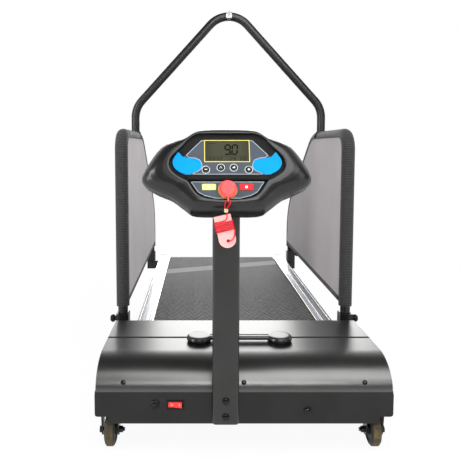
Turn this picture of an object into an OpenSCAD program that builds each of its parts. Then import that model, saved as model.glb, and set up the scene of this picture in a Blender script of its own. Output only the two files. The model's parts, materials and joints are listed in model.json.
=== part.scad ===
/* [Running deck] */
// Width of the running belt
belt_w = 406; // [380:2:430]
// Thickness of the running belt
belt_t = 2; // [1.5:0.5:3]
// Height of the running surface above the floor
belt_top = 181; // [178:1:190]
// Gap between the belt and what it runs over
belt_gap = 0.3; // [0.3:0.1:0.6]
// Radius of the two rollers
roller_r = 21; // [18:1:22]
// Wall of the roller tubes
roller_wall = 3; // [2:0.5:4]
// Length of the bearing plug in each roller end
roller_plug = 20; // [12:1:30]
// Distance of the front roller from the rear edge of the tray and the hood
roller_in = 48; // [43:1:58]
// Distance of the rear roller from the front plate
rear_roller_y = 1122; // [1060:1:1124]
// Radius of the roller axles
axle_r = 6; // [4:0.5:7]
// Radial clearance of turning parts on their axles
axle_fit = 0.05; // [0.02:0.01:0.1]
// Thickness of the deck board
deck_t = 15; // [12:1:18]
// Gap between the deck board and each side beam
deck_gap = 2; // [1:0.5:4]
// Length of a rubber deck cushion
cushion_len = 40; // [20:5:60]

/* [Side beams] */
// Gap between the belt edge and each side beam
beam_off = 20; // [18:1:26]
// Width of a side beam
beam_w = 22; // [18:1:28]
// Height of a side beam
beam_h = 65; // [55:1:70]
// Wall of the beams and the cross tubes
beam_wall = 2.5; // [1.5:0.5:4]
// Front end of the beams, from the front plate
beam_front = 40; // [30:1:60]
// Rear end of the beams, from the front plate
beam_rear = 1190; // [1180:1:1220]
// Width of a cross tube along the machine
cross_w = 30; // [20:1:40]
// Height of the cross tubes under the belt
cross_h = 25; // [15:1:26]
// Depth of the ledge that carries the deck board
ledge_w = 15; // [12:1:16]

/* [Foot rails] */
// Height of the foot rail above the running surface
rail_rise = 5; // [2:0.5:8]
// Height of the foot rail section
rail_h = 16; // [12:1:18]
// Wall of the foot rail section
rail_wall = 3; // [2:0.5:4]
// Gap between the belt edge and the foot rail
rail_gap = 2; // [1:0.5:4]
// Rear end of the foot rails, from the front plate
rail_rear = 1130; // [1100:1:1140]
// Height of the grip ridges on the foot rail
ridge_h = 0.7; // [0.4:0.1:0.8]
// Distance of the long groove from the rail's outer edge
groove_in = 6; // [4:0.5:10]

/* [Front tray] */
// How far the front plate reaches past each side beam
plate_side = 54; // [50:0.5:64]
// Height of the front plate
plate_h = 51; // [45:1:60]
// Height of the front plate's lower edge above the floor
plate_low = 83; // [80:1:84]
// Sheet thickness of the tray
plate_t = 3; // [2:0.5:4]
// Corner radius of the front plate
plate_r = 6; // [2:0.5:10]
// Distance of the lip's ends from the ends of the front plate
lip_in = 27; // [20:1:38]
// Depth of the pan below the front plate
pan_d = 14; // [10:1:16]
// Distance of the pan's sides from the side beams
pan_side = 5; // [4:0.5:7.5]
// Length of the tray and the hood
tray_len = 283; // [275:1:290]

/* [Hood] */
// Distance of the hood's ends from the ends of the front plate
hood_in = 2; // [1:0.5:4]
// Height of the hood over the front plate
hood_h = 56; // [54:1:70]
// Length of the curved front of the hood
hood_curve = 85; // [60:1:90]
// Wall of the hood
hood_wall = 3; // [2:0.5:4]
// Distance of the groove across the hood from the front plate
seam_y = 160; // [150:1:200]
// Distance of the groove's ends from the ends of the hood
seam_in = 8; // [7:1:90]
// Width and depth of the groove across the hood
seam_w = 2; // [1:0.5:2.5]
// Radius of the hood screws' heads
hood_screw_r = 5; // [3:0.5:7]
// Distance of the outer hood screws from the ends of the hood
hood_screw_in = 55; // [30:1:97]
// Height of the hood screws over the front plate
hood_screw_h = 18; // [14:1:30]

/* [Carry grip] */
// Length of the carry grip
grip_len = 235; // [180:1:300]
// Diameter of the grip's two round bosses
boss_d = 56; // [50:1:70]
// Height of the grip's bosses
boss_h = 14; // [12:1:24]
// Width of the grip's bar
grip_bar_w = 21; // [14:1:30]
// Thickness of the grip's bar
grip_bar_t = 7; // [6:0.5:9]
// Distance of the grip from the front plate
grip_y = 138; // [130:1:150]

/* [Mast] */
// Sideways place of the mast and the console
mast_x = -38; // [-60:1:0]
// Width of the mast
mast_w = 52; // [40:1:60]
// Depth of the mast
mast_d = 30; // [24:1:36]
// Wall of the mast tube
mast_wall = 2.5; // [1.5:0.5:4]
// Corner radius of the mast tube
mast_r = 8; // [5:0.5:12]
// Height of the top of the mast
mast_top = 545; // [530:1:560]
// How far the mast's foot reaches below the front plate
mast_foot = 1; // [0:0.5:4]
// Height of the lower mast bolt above the mast's foot
mast_bolt_low = 15; // [12:1:20]
// Distance between the two mast bolts
mast_bolt_gap = 32; // [20:1:40]

/* [Console] */
// Lean of the console face from upright
lean = 25; // [15:1:35]
// Place of the face's reference point, from the front plate
face_y = -60; // [-70:1:-50]
// Height of the face's reference point
face_z = 570; // [520:1:620]
// Depth of the rolled front of the shell
front_d = 32; // [24:1:36]
// Depth of the back shell
back_d = 44; // [36:1:50]
// Depth of the pocket that holds the panels
pocket_d = 8; // [6:0.5:10]
// Thickness of the two panels
panel_t = 4; // [3:0.5:5]
// Height of the ridge between the panels
brow_h = 5; // [2:0.5:8]
// Length of the ridge between the panels
brow_len = 148; // [120:1:150]
// Width of the ridge between the panels
brow_w = 9; // [6:0.5:9.5]
// Width of the display window
lcd_w = 81; // [60:1:92]
// Height of the display window
lcd_h = 41; // [30:1:42]
// Height of the middle of the display on the face
lcd_v = 50; // [46:1:50]
// Corner radius of the panels
panel_r = 5; // [2:0.5:8]

/* [Console buttons] */
// Diameter of the round buttons
button_d = 12.6; // [8:0.2:14]
// Gap round each button
button_fit = 0.3; // [0.2:0.05:0.5]
// Height of a button over its panel
button_rise = 1.6; // [1.3:0.1:2.5]
// Travel of a button
button_travel = 1.2; // [0.6:0.1:1.2]
// Distance of the outer round buttons from the middle
outer_button_u = 39.5; // [36:0.5:39.5]
// Distance of the inner round buttons from the middle
inner_button_u = 12; // [8:0.1:16]
// Height of the outer round buttons on the face
outer_button_v = 12.5; // [10:0.5:13]
// Height of the inner round buttons on the face
inner_button_v = 16.5; // [12:0.5:18]
// Width of the start and stop buttons
bar_button_w = 25.5; // [20:0.5:27]
// Height of the start and stop buttons
bar_button_h = 12; // [8:0.5:14]
// Distance of the start and stop buttons from the middle
bar_button_u = 34; // [33:0.5:36]
// Height of the start and stop buttons on the face
bar_button_v = -22; // [-24:0.5:-21]

/* [Safety key] */
// Diameter of the key's disc
key_d = 33; // [28:1:34]
// Thickness of the key's disc
key_t = 10; // [8:0.5:12]
// Radius of the key's stem
key_stem_r = 4.5; // [3:0.25:6]
// Height of the key on the face
key_v = -27.5; // [-28:0.5:-27]
// Diameter of the ring round the key
ring_d = 34.6; // [33.6:0.2:35]
// Thickness of the ring
ring_t = 1.6; // [1:0.1:2.5]
// Depth of the lug that the lanyard goes through
lug_l = 11.5; // [9:0.5:12]
// Radius of the lug's hole
lug_hole_r = 2.2; // [2.1:0.1:2.4]

/* [Lanyard] */
// Diameter of the lanyard cord
cord_d = 2; // [1.6:0.1:2.2]
// Width of the winder tag
tag_w = 31; // [26:0.5:36]
// Length of the winder tag
tag_l = 59; // [56:0.5:59]
// Thickness of the winder tag
tag_t = 5; // [4:0.25:6]
// Sideways lean of the hanging tag
tag_lean = 13; // [5:0.5:20]
// Turns of cord on the tag
cord_turns = 7; // [4:1:8]
// Distance from one turn to the next
cord_pitch = 2.9; // [2.7:0.1:3.2]
// Radius of the tag's cord hole
tag_hole_r = 3; // [2.8:0.1:3.5]

/* [Casters] */
// Diameter of a wheel
wheel_d = 66; // [56:1:70]
// Width of a wheel
wheel_w = 22; // [16:1:24]
// Distance of the wheels from the ends of the front plate
caster_in = 25; // [23:0.5:27]
// Distance of the wheels from the front plate
caster_y = 47; // [42:1:60]
// Sheet thickness of the forks
fork_t = 3; // [2:0.5:4]
// Gap between a wheel and its fork
fork_gap = 4; // [3:0.5:5]
// Radius of the wheel bolts
wheel_bolt_r = 4; // [3:0.25:5]

/* [Rear legs] */
// Distance of the rear legs from the beams' rear ends
leg_back = 110; // [100:1:190]
// Height of the rubber feet
foot_h = 18; // [10:1:30]
// Radius of the rubber feet
foot_r = 22; // [16:1:26]

/* [Side panels] */
// Distance of the panel posts from the side beams
post_off = 40; // [37:1:45]
// Diameter of the panel and arch tubes
tube_d = 25; // [24:0.5:26]
// Wall of the panel and arch tubes
tube_wall = 1.6; // [1.2:0.1:2.5]
// Distance of the front posts from the rear edge of the tray and the hood
front_post_gap = 41; // [32:1:57]
// Distance of the rear posts from the front plate
rear_post_y = 1178; // [1160:1:1180]
// Height of the top of the panels
panel_top = 668; // [640:1:700]
// Height of the bottom of the panels
panel_low = 217; // [210:1:230]
// Thickness of the covered panels round their tubes
cover_t = 31; // [30:0.5:33]
// Gap between the cover and the tubes
cover_gap = 0.5; // [0.5:0.1:0.8]
// Bend radius of the front upper corner
corner_r = 40; // [30:1:60]
// Bend radius of the two bends at the sloping end
slope_r = 180; // [140:5:200]
// Slope of the panel's rear end
slope_a = 31; // [25:1:36]
// Where the slope starts, from the front plate
slope_y = 662; // [660:1:680]

/* [Arch] */
// How far the arch stands ahead of the start of the panels' slope
arch_ahead = 17; // [16:1:62]
// Height of the arch's straight legs over the panels
arch_leg = 41; // [20:1:120]
// Bend radius of the arch tube
arch_r = 76; // [60:1:100]
// Slope of the arch's straight sides
arch_a = 47.5; // [40:0.1:50]
// Radius of the spigots that plug into the panels
spigot_r = 9.5; // [8:0.25:9.75]
// Length of the spigots
spigot_len = 110; // [60:5:140]
// Radial clearance of the spigots in their sockets
spigot_fit = 0.1; // [0.05:0.01:0.2]
// Radius of the eye's hole
eye_r = 5.5; // [4:0.25:6]
// Outer radius of the eye's flange
eye_out = 11; // [10:0.5:12]
// How far the eye's flange stands off the tube
eye_t = 7; // [6:0.5:9]
// Radius of the eye's neck in the tube
eye_neck = 8; // [7.5:0.25:8.5]

/* [Foot brackets] */
// Sheet thickness of the foot brackets
bracket_t = 3; // [2:0.5:4]
// Gap between a post and the bracket's ears
bracket_gap = 0.5; // [0.3:0.1:1]
// Lower edge of the brackets
bracket_low = 126; // [120:1:130]
// Height of the brackets
bracket_h = 72; // [68:1:80]
// Height of the bracket bolts over the bracket's lower edge
bracket_bolt_h = 28; // [24:1:36]
// Height of the hand knobs over the bracket's lower edge
knob_h = 57; // [50:1:60]
// Radius of the bracket bolts and the knob screws
bolt_r = 4; // [3:0.25:5]
// Radius of the hand knobs
knob_r = 9.5; // [8:0.25:12]
// Length of the hand knobs
knob_len = 16; // [12:0.5:22]

/* [Switch and reset] */
// Sideways place of the rocker switch
switch_x = -137; // [-145:1:-125]
// Height of the switch and the reset button over the plate's lower edge
switch_h = 25; // [22:1:30]
// Length of the rocker
rocker_w = 27.2; // [22:0.2:30]
// Height of the rocker
rocker_h = 11.4; // [8:0.2:14]
// Tilt of the rocker each way
rocker_a = 8; // [4:1:10]
// Wall of the switch housing
switch_wall = 1.6; // [1.2:0.1:2.5]
// Sideways place of the reset button
reset_x = -178; // [-200:1:-170]
// Radius of the reset button's bush
reset_bush_r = 9.5; // [8:0.25:11]
// Radius of the reset button
reset_r = 5; // [3:0.25:6]
// Travel of the reset button
reset_travel = 3; // [2:0.25:4]
// Sideways place of the plate bolt
plate_bolt_x = 128; // [100:1:160]
// Height of the plate bolt over the plate's lower edge
plate_bolt_h = 12; // [10:1:20]

/* [Drive] */
// Radius of the motor
motor_r = 40; // [32:1:42]
// Length of the motor
motor_len = 150; // [100:2:180]
// Distance of the motor from the front plate
motor_y = 116; // [110:1:125]
// Height of the motor feet
motor_foot = 10; // [6:1:12]
// Radius of the motor pulley
motor_pulley_r = 11; // [8:0.5:14]
// Radius of the roller's pulley
roller_pulley_r = 22; // [18:0.5:24]
// Width of the drive belt
drive_w = 12; // [8:0.5:13]
// Thickness of the drive belt
drive_t = 3; // [2:0.25:3.5]
// Radius of the flywheel
flywheel_r = 44; // [30:1:46]
// Length of the controller box
box_len = 130; // [80:2:150]

/* [Hidden] */

$fn = 48;
// Small overlap for cuts that run past a face
past = 1;
// Lap of a straight run into the bend beside it, and how much fuller the bend is
lap = 1.5;
lap_rise = 0.05;

// Running deck
front_roller_y = tray_len - roller_in;
front_post_y = tray_len + front_post_gap;
roller_z = belt_top - belt_t - belt_gap - roller_r;
deck_top = belt_top - belt_t - belt_gap;
roller_half = belt_w / 2 + 2;
rail_top = belt_top + rail_rise;
beam_top = rail_top - rail_h;
beam_low = beam_top - beam_h;
beam_in = belt_w / 2 + beam_off;
beam_out = beam_in + beam_w;
belt_low = roller_z - roller_r - belt_gap - belt_t;
leg_y = beam_rear - leg_back;
rail_lap = 18;

// Widths that follow the side beams
plate_w = 2 * (beam_out + plate_side);
lip_w = plate_w - 2 * lip_in;
pan_w = 2 * (beam_out + pan_side);
hood_w = plate_w - 2 * hood_in;
seam_len = hood_w - 2 * seam_in;
hood_screw_x = hood_w / 2 - hood_screw_in;
caster_x = plate_w / 2 - caster_in;
post_x = beam_out + post_off;

// Deck
cushion_h = 8;
ledge_top = deck_top - deck_t - cushion_h;
deck_front = front_roller_y + roller_r + belt_t + 6;
deck_rear = rear_roller_y - roller_r - belt_t - 6;

// Tray and hood heights
plate_top = plate_low + plate_h;
pan_low = plate_low - pan_d;
pan_floor = pan_low + plate_t;
hood_top = plate_top + hood_h;
grip_gap = boss_h - grip_bar_t - 2;
mast_low = plate_low - mast_foot;

// Drive: the pulleys turn in the gap between the belt and the left beam
pulley_x = -(belt_w / 2 + beam_off / 2 + 1);
motor_z = pan_floor + motor_foot + motor_r;
motor_gap = 19;
motor_left = pulley_x + motor_gap;
motor_right = motor_left + motor_len;

// Panels
tube_r = tube_d / 2;
cover_r = cover_t / 2;
post_foot = bracket_low + bracket_t;
frame_top = panel_top - cover_r;
low_bar_z = panel_low + cover_r;
slope_len = (rear_post_y - slope_y - slope_r) / cos(slope_a);
slope_drop = slope_r + slope_len * sin(slope_a);
socket_top = panel_top + 2;
socket_low = socket_top - spigot_len - 30;

// Arch
arch_y = slope_y - arch_ahead;
leg_low = socket_top + 0.3;
arch_turn = 90 - arch_a;
arch_side = (post_x - arch_r * (1 - cos(arch_turn)) - arch_r * sin(arch_a)) / cos(arch_a);
arch_rise = arch_r * sin(arch_turn) + arch_side * sin(arch_a) + arch_r * (1 - cos(arch_a));
arch_bend_z = leg_low + arch_leg;
arch_top = arch_bend_z + arch_rise + tube_r;

// Foot brackets
ear_in = post_x - tube_r - bracket_gap - bracket_t;
ear_out = post_x + tube_r + bracket_gap + bracket_t;
web_y = tube_r + bracket_gap + bracket_t;
bracket_bolt_z = bracket_low + bracket_bolt_h;
knob_z = bracket_low + knob_h;

// Casters
axle_z = wheel_d / 2;
fork_in = wheel_w / 2 + fork_gap;
fork_out = fork_in + fork_t;
fork_top = plate_low;

// Console face: u runs sideways, v up the face and w out of it
panel_w0 = -pocket_d + 2;
panel_w1 = panel_w0 + panel_t;
// Right half of the shell's outline, from the top middle to the bottom middle
shell_half = [[0, 102.5], [42, 101], [63.5, 95], [81, 81], [101, 78], [125, 66.5], [146, 36], [159.5, 7],
  [154.5, -8], [137, -20], [105, -34], [77, -55.5], [60, -64.5], [0, -65]];
// Right half of the pocket's outline, point for point with the shell's
pocket_half = [[0, 85], [34, 85], [54.5, 84], [69.5, 75.5], [82, 60], [96.5, 45], [105, 34], [107, 22],
  [101.5, 8], [83, -5.5], [72.5, -11], [58.5, -33], [40.5, -43.5], [0, -47.5]];
// Right half of the back shell's rear outline, point for point with the shell's
rear_half = [[0, 72], [30, 72], [48, 67], [61, 58], [76, 53], [92, 44], [106, 23], [111, 3],
  [106, -8], [93, -17], [72, -27], [55, -42], [42, -49], [0, -50]];
curve_steps = 3;
roll_steps = 6;

// Front edge of the lug that the lanyard goes through
key_w0 = panel_w1 + ring_t + 0.2;
key_w1 = key_w0 + key_t;
lug_v = key_v - key_d / 2 - lug_l + 2;
lug_hole_v = lug_v + 4;
front_end = face_y + lug_v * sin(lean) - key_w1 * cos(lean);
cap_rear = beam_rear + 8;
// The frame's origin is on the floor, below the middle of the machine's length
y_shift = -(front_end + cap_rear) / 2;

// Lanyard: route points from the crimp up through the lug and down, sideways from the mast's middle
lanyard_points = [[-5.6, -91, 512], [-5.9, -91, 514.5], [-6, -90.8, 517], [-5.8, -90.2, 520],
  [-5, -89.2, 523], [-3.6, -88.3, 525.6], [-1.6, -87.6, 527.3], [0, -87.5, 527.6],
  [1.6, -87.6, 527.3], [3.4, -88.4, 525.4], [3.8, -89.4, 522.8], [2.6, -90.3, 520],
  [0.4, -90.9, 517], [-1.4, -91, 514.5], [-2, -91, 512]];
lanyard_route = [for (p = lanyard_points) p + [mast_x, 0, 0]];
crimp_at = [mast_x - 3.8, -91, 512];
crimp_h = 6;
// Middle of the tag's round end
tag_at = [mast_x - 1.5, -91, 457.9];
// Lead from the crimp down the tag's face to the winding: across, along and out of the tag
lead_route = [[8.8, 48, 0], [8.8, 46, 0.4], [8.8, 43.6, 2.6], [8.6, 41, 3.8], [8.1, 38.8, 3.8],
  [7.2, 36.8, 3.8], [5.4, 35, 3.8], [2.8, 33.6, 3.8]];
// Tail of the winding on the tag's face: across, along and out of the tag
tail_route = [[16.5, 11.6, 1.9], [15.6, 9.2, 3.4], [14.6, 6, 4], [13.2, 2.6, 4], [11, -0.6, 4], [8.2, -2.6, 4.2],
  [5.2, -3.3, 4.4], [3, -3.3, 3.9], [1.6, -3.25, 2.7], [0.9, -3.2, 1.2], [0.8, -3.2, -0.4], [0.8, -3.2, -2.2]];
tail_hole = [0.8, -3.2];
winding_low = 13;
loop_rings = 24;

// Shared shapes

module both_sides() {
  children();
  mirror([1, 0, 0]) children();
}

module in_place() {
  translate([0, y_shift, 0]) children();
}

// A profile drawn along the machine and upwards, carried across it
module across(x0, x1) {
  translate([x0, 0, 0]) rotate([90, 0, 90]) linear_extrude(x1 - x0) children();
}

// A profile drawn across the machine and upwards, carried along it
module along(y0, y1) {
  translate([0, y1, 0]) rotate([90, 0, 0]) linear_extrude(y1 - y0) children();
}

module rod_x(r, x0, x1) {
  translate([x0, 0, 0]) rotate([0, 90, 0]) cylinder(r = r, h = x1 - x0);
}

module rod_y(r, y0, y1) {
  translate([0, y0, 0]) rotate([-90, 0, 0]) cylinder(r = r, h = y1 - y0);
}

// A turned shape: radius and distance pairs, turned about the X axis
module turned_x(profile) {
  rotate([0, 90, 0]) rotate_extrude() polygon(profile);
}

module turned_y(profile) {
  rotate([-90, 0, 0]) rotate_extrude() polygon(profile);
}

module block(low, high) {
  translate(low) cube(high - low);
}

// A rectangle with true round corners
module round_rect(w, h, r) {
  square([w - 2 * r, h], center = true);
  square([w, h - 2 * r], center = true);
  for (x = [-1, 1], y = [-1, 1])
    translate([x * (w / 2 - r), y * (h / 2 - r)]) circle(r);
}

// A domed bolt head that stands on the XY plane, with its shank below
module dome_bolt(head_r, head_h, shank_r, shank_len) {
  rotate_extrude()
    polygon(concat([[0, -shank_len], [shank_r, -shank_len], [shank_r, 0], [head_r, 0]],
      [for (a = [15:15:90]) [head_r * cos(a), head_h * (0.3 + 0.7 * sin(a))]]));
}

// A bent tube that starts along +X and turns towards +Y: runs are [length, turn, bend radius].
// Each straight run laps a little way into the bends beside it.
module bent_rod(r, runs, i = 0) {
  run = runs[i];
  bends = len(run) > 1;
  rod_x(r, i > 0 ? -lap : 0, run[0] + (bends ? lap : 0));
  if (bends)
    translate([run[0], 0, 0]) {
      translate([0, run[2], 0]) rotate([0, 0, -90])
        rotate_extrude(angle = run[1]) translate([run[2], 0]) circle(r + lap_rise);
      translate([run[2] * sin(run[1]), run[2] * (1 - cos(run[1])), 0])
        rotate([0, 0, run[1]]) bent_rod(r, runs, i + 1);
    }
}

function at_angle(r, a) = [r * cos(a), r * sin(a)];

function arc_points(centre, r, a0, a1, steps) =
  [for (k = [0:steps]) centre + at_angle(r, a0 + (a1 - a0) * k / steps)];

// Closed line round two pulleys, given as [along, up, radius], at a distance from both
function belt_line(a, b, grow) = let (
    pa = [a[0], a[1]],
    pb = [b[0], b[1]],
    heading = atan2(pb[1] - pa[1], pb[0] - pa[0]),
    tilt = acos((a[2] - b[2]) / norm(pb - pa)))
  concat(arc_points(pb, b[2] + grow, heading - tilt, heading + tilt, 24),
    arc_points(pa, a[2] + grow, heading + tilt, heading + 360 - tilt, 24));

module belt_loop(a, b, gap, t) {
  difference() {
    polygon(belt_line(a, b, gap + t));
    polygon(belt_line(a, b, gap));
  }
}

// Smooth curves through hand-set points

function curve_point(a, b, c, d, t) =
  0.5 * (2 * b + (c - a) * t + (2 * a - 5 * b + 4 * c - d) * t * t + (3 * b - a - 3 * c + d) * t * t * t);

function closed_curve(p, steps) = let (n = len(p))
  [for (i = [0:n - 1], k = [0:steps - 1])
    curve_point(p[(i + n - 1) % n], p[i], p[(i + 1) % n], p[(i + 2) % n], k / steps)];

function mirrored(half) =
  concat(half, [for (i = [len(half) - 2:-1:1]) [-half[i][0], half[i][1]]]);

function outline_of(half) = closed_curve(mirrored(half), curve_steps);

function ring_at(outline, w) = [for (p = outline) [p[0], p[1], w]];

function between(a, b, s) = [for (i = [0:len(a) - 1]) a[i] + (b[i] - a[i]) * s];

function sum_of(v) = v * [for (x = v) 1];

function middle_of(ring) = [for (k = [0:2]) sum_of([for (p = ring) p[k]]) / len(ring)];

// A solid skin over rings of points, with a fan of triangles over its first and its last ring
module loft(rings) {
  n = len(rings[0]);
  last = len(rings) - 1;
  hub = n * len(rings);
  polyhedron(
    points = concat([for (ring = rings) each ring], [middle_of(rings[0]), middle_of(rings[last])]),
    faces = concat(
      [for (i = [0:n - 1]) [hub, (i + 1) % n, i]],
      [for (j = [0:last - 1], i = [0:n - 1]) [j * n + i, j * n + (i + 1) % n, (j + 1) * n + i]],
      [for (j = [0:last - 1], i = [0:n - 1])
        [(j + 1) * n + i, j * n + (i + 1) % n, (j + 1) * n + (i + 1) % n]],
      [for (i = [0:n - 1]) [hub + 1, last * n + i, last * n + (i + 1) % n]]));
}

// Cord tubes

function unit(v) = v / norm(v);

function tangents(p) = let (n = len(p))
  [for (i = [0:n - 1]) unit(p[min(i + 1, n - 1)] - p[max(i - 1, 0)])];

function square_to(v, t) = unit(v - (v * t) * t);

// Directions carried along the route without twist
function carried(t, start) =
  [for (i = 0, v = square_to(start, t[0]); i < len(t);
    i = i + 1, v = i < len(t) ? square_to(v, t[i]) : v) v];

module cord_tube(route, r, sides, start) {
  t = tangents(route);
  n = carried(t, start);
  rings = [for (i = [0:len(route) - 1])
    [for (k = [0:sides - 1]) let (a = -360 * k / sides)
      route[i] + r * (cos(a) * n[i] + sin(a) * cross(t[i], n[i]))]];
  loft(rings);
}

// Places on the console and the tag

module on_face() {
  translate([mast_x, face_y, face_z]) rotate([90 - lean, 0, 0]) children();
}

function on_tag(p) = tag_at
  + p[0] * [cos(tag_lean), 0, sin(tag_lean)]
  + p[1] * [-sin(tag_lean), 0, cos(tag_lean)]
  + p[2] * [0, -1, 0];

// Corner stations of one turn of cord: flat runs over the tag's faces and half circles round its edges
edge_steps = 8;
flat_steps = (loop_rings - 2 * edge_steps) / 2;

// A point on the turns of cord, k rings after the middle of the first front run
function turn_point(k) = let (
    r = tag_t / 2 + cord_d / 2 + 0.3,
    flat = tag_w / 2 - tag_t / 2,
    j = (k + flat_steps / 2) % loop_rings,
    up = winding_low + cord_pitch * (cord_turns - k / loop_rings))
  j < flat_steps ? [flat - 2 * flat * j / flat_steps, up, r] :
  j < flat_steps + edge_steps ? let (a = 90 + 180 * (j - flat_steps) / edge_steps)
    [-flat + r * cos(a), up, r * sin(a)] :
  j < 2 * flat_steps + edge_steps ? [-flat + 2 * flat * (j - flat_steps - edge_steps) / flat_steps, up, -r] :
  let (a = 270 + 180 * (j - 2 * flat_steps - edge_steps) / edge_steps) [flat + r * cos(a), up, r * sin(a)];

winding_rings = loop_rings * cord_turns - flat_steps / 2 - edge_steps / 2;

function winding_route() = concat(
  [for (p = lead_route) on_tag(p)],
  [for (k = [0:winding_rings]) on_tag(turn_point(k))],
  [for (p = tail_route) on_tag(p)]);

function least_gap(p, skip) = min([for (i = [0:len(p) - 1 - skip], j = [i + skip:len(p) - 1])
  norm(p[i] - p[j])]) - cord_d;

echo(winding_least_gap = least_gap(winding_route(), floor(loop_rings / 2)));

// Deck and frame

// Folded section of the tray: side walls, wing floors and the pan
module tray_section() {
  half = plate_w / 2;
  step = pan_w / 2;
  low = plate_low - pan_d;
  wing = plate_low + plate_t;
  polygon([[-half, plate_top], [-half, plate_low], [-step, plate_low], [-step, low], [step, low], [step, plate_low],
    [half, plate_low], [half, plate_top], [half - plate_t, plate_top], [half - plate_t, wing], [step - plate_t, wing],
    [step - plate_t, low + plate_t], [plate_t - step, low + plate_t], [plate_t - step, wing], [plate_t - half, wing],
    [plate_t - half, plate_top]]);
}

module front_tray() {
  color("#2c2c2b") in_place() difference() {
    union() {
      along(plate_t, tray_len) tray_section();
      along(0, plate_t) translate([0, (plate_low + plate_top) / 2]) round_rect(plate_w, plate_h, plate_r);
      block([-lip_w / 2, 0, pan_low], [lip_w / 2, plate_t, plate_low + plate_r]);
    }
    translate([switch_x, 0, plate_low + switch_h])
      along(-past, plate_t + past) square([rocker_w + 6, rocker_h + 4], center = true);
    translate([reset_x, 0, plate_low + switch_h]) rod_y(reset_r + 2.5, -past, plate_t + past);
    translate([plate_bolt_x, 0, plate_low + plate_bolt_h]) rod_y(bolt_r, -past, plate_t + past);
    for (k = [0, 1])
      translate([mast_x, 0, mast_low + mast_bolt_low + k * mast_bolt_gap])
        rod_y(bolt_r, -past, plate_t + past);
  }
}

module side_beams() {
  mid = (beam_in + beam_out) / 2;
  color("#333333") in_place() both_sides() difference() {
    union() {
      along(beam_front, beam_rear) translate([mid, beam_top - beam_h / 2]) square([beam_w, beam_h], center = true);
      block([beam_in - ledge_w, deck_front, ledge_top - plate_t], [beam_in + past, deck_rear, ledge_top]);
    }
    along(beam_front - past, beam_rear + past) translate([mid, beam_top - beam_h / 2])
      square([beam_w - 2 * beam_wall, beam_h - 2 * beam_wall], center = true);
    for (y = [front_roller_y, rear_roller_y])
      translate([0, y, roller_z]) rod_x(axle_r, beam_in - past, beam_out + past);
  }
}

module cross_tube(y, half, low, high) {
  difference() {
    block([-half, y - cross_w / 2, low], [half, y + cross_w / 2, high]);
    block([-half - past, y - cross_w / 2 + beam_wall, low + beam_wall],
      [half + past, y + cross_w / 2 - beam_wall, high - beam_wall]);
  }
}

module cross_tubes() {
  color("#333333") in_place() {
    for (y = [beam_front + cross_w / 2, tray_len - plate_t - cross_w / 2])
      cross_tube(y, pan_w / 2 - plate_t, pan_floor, beam_low);
    for (y = [(tray_len + beam_rear) / 2, leg_y])
      cross_tube(y, beam_in, beam_low, beam_low + cross_h);
    both_sides() difference() {
      block([beam_in - beam_wall, leg_y - cross_w / 2, foot_h], [beam_out, leg_y + cross_w / 2, beam_low]);
      block([beam_in + beam_wall, leg_y - cross_w / 2 + beam_wall, foot_h + beam_wall],
        [beam_out - beam_wall, leg_y + cross_w / 2 - beam_wall, beam_low + past]);
    }
  }
}

module rear_feet() {
  color("#1d1d1d") in_place() both_sides()
    translate([(beam_in + beam_out) / 2, leg_y, 0]) rotate_extrude()
      polygon([[0, 0], [foot_r - 2, 0], [foot_r, 2], [foot_r - 4, foot_h - 3], [foot_r - 6, foot_h], [0, foot_h]]);
}

// Foot rail section on the right: flat top with grip ridges, a long groove and two legs
module rail_section() {
  inner = belt_w / 2 + rail_gap;
  outer = beam_out;
  under = rail_top - rail_wall;
  groove = outer - groove_in;
  ridges = [for (k = [0:3]) inner + 2 + 5 * k];
  difference() {
    union() {
      translate([inner, under]) square([outer - inner, rail_wall]);
      translate([beam_in + 2, beam_top]) square([rail_wall, rail_h - past]);
      translate([outer - rail_wall, beam_top]) square([rail_wall, rail_h - past]);
      for (x = ridges)
        translate([x, rail_top - past]) square([2, ridge_h + past]);
    }
    translate([groove, rail_top - 1.4]) square([1.6, 3]);
  }
}

module foot_rail() {
  along(tray_len - rail_lap, rail_rear) rail_section();
}

module foot_rail_right() {
  color("#d9dadb") in_place() foot_rail();
}

module foot_rail_left() {
  color("#d9dadb") in_place() mirror([1, 0, 0]) foot_rail();
}

module deck_board() {
  half = beam_in - deck_gap;
  color("#8a6f4d") in_place()
    block([-half, deck_front, deck_top - deck_t], [half, deck_rear, deck_top]);
}

module deck_cushions() {
  margin = 60;
  count = 4;
  step = (deck_rear - deck_front - 2 * margin - cushion_len) / (count - 1);
  color("#262626") in_place() both_sides() for (k = [0:count - 1])
    block([beam_in - ledge_w + 1, deck_front + margin + k * step, ledge_top],
      [beam_in - deck_gap, deck_front + margin + k * step + cushion_len, ledge_top + cushion_h]);
}

module running_belt() {
  front = [front_roller_y, roller_z, roller_r];
  rear = [rear_roller_y, roller_z, roller_r];
  color("#5c5c5a") in_place() across(-belt_w / 2, belt_w / 2) belt_loop(front, rear, belt_gap, belt_t);
}

// Roller tube with a plug in each end, turned about X
module roller() {
  bore = axle_r + axle_fit;
  inner = roller_r - roller_wall;
  turned_x([[bore, -roller_half], [roller_r, -roller_half], [roller_r, roller_half], [bore, roller_half],
    [bore, roller_half - roller_plug], [inner, roller_half - roller_plug],
    [inner, roller_plug - roller_half], [bore, roller_plug - roller_half]]);
}

module front_roller() {
  hub = 12;
  left = pulley_x - drive_w / 2;
  right = pulley_x + drive_w / 2;
  flange = roller_pulley_r + 1.5;
  color("#9a9c9e") in_place() translate([0, front_roller_y, roller_z]) {
    roller();
    turned_x([[axle_r + axle_fit, left - 1], [flange, left - 1], [roller_pulley_r, left], [roller_pulley_r, right],
      [flange, right + 1], [hub, right + 1], [hub, -roller_half], [axle_r + axle_fit, -roller_half]]);
  }
}

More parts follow.
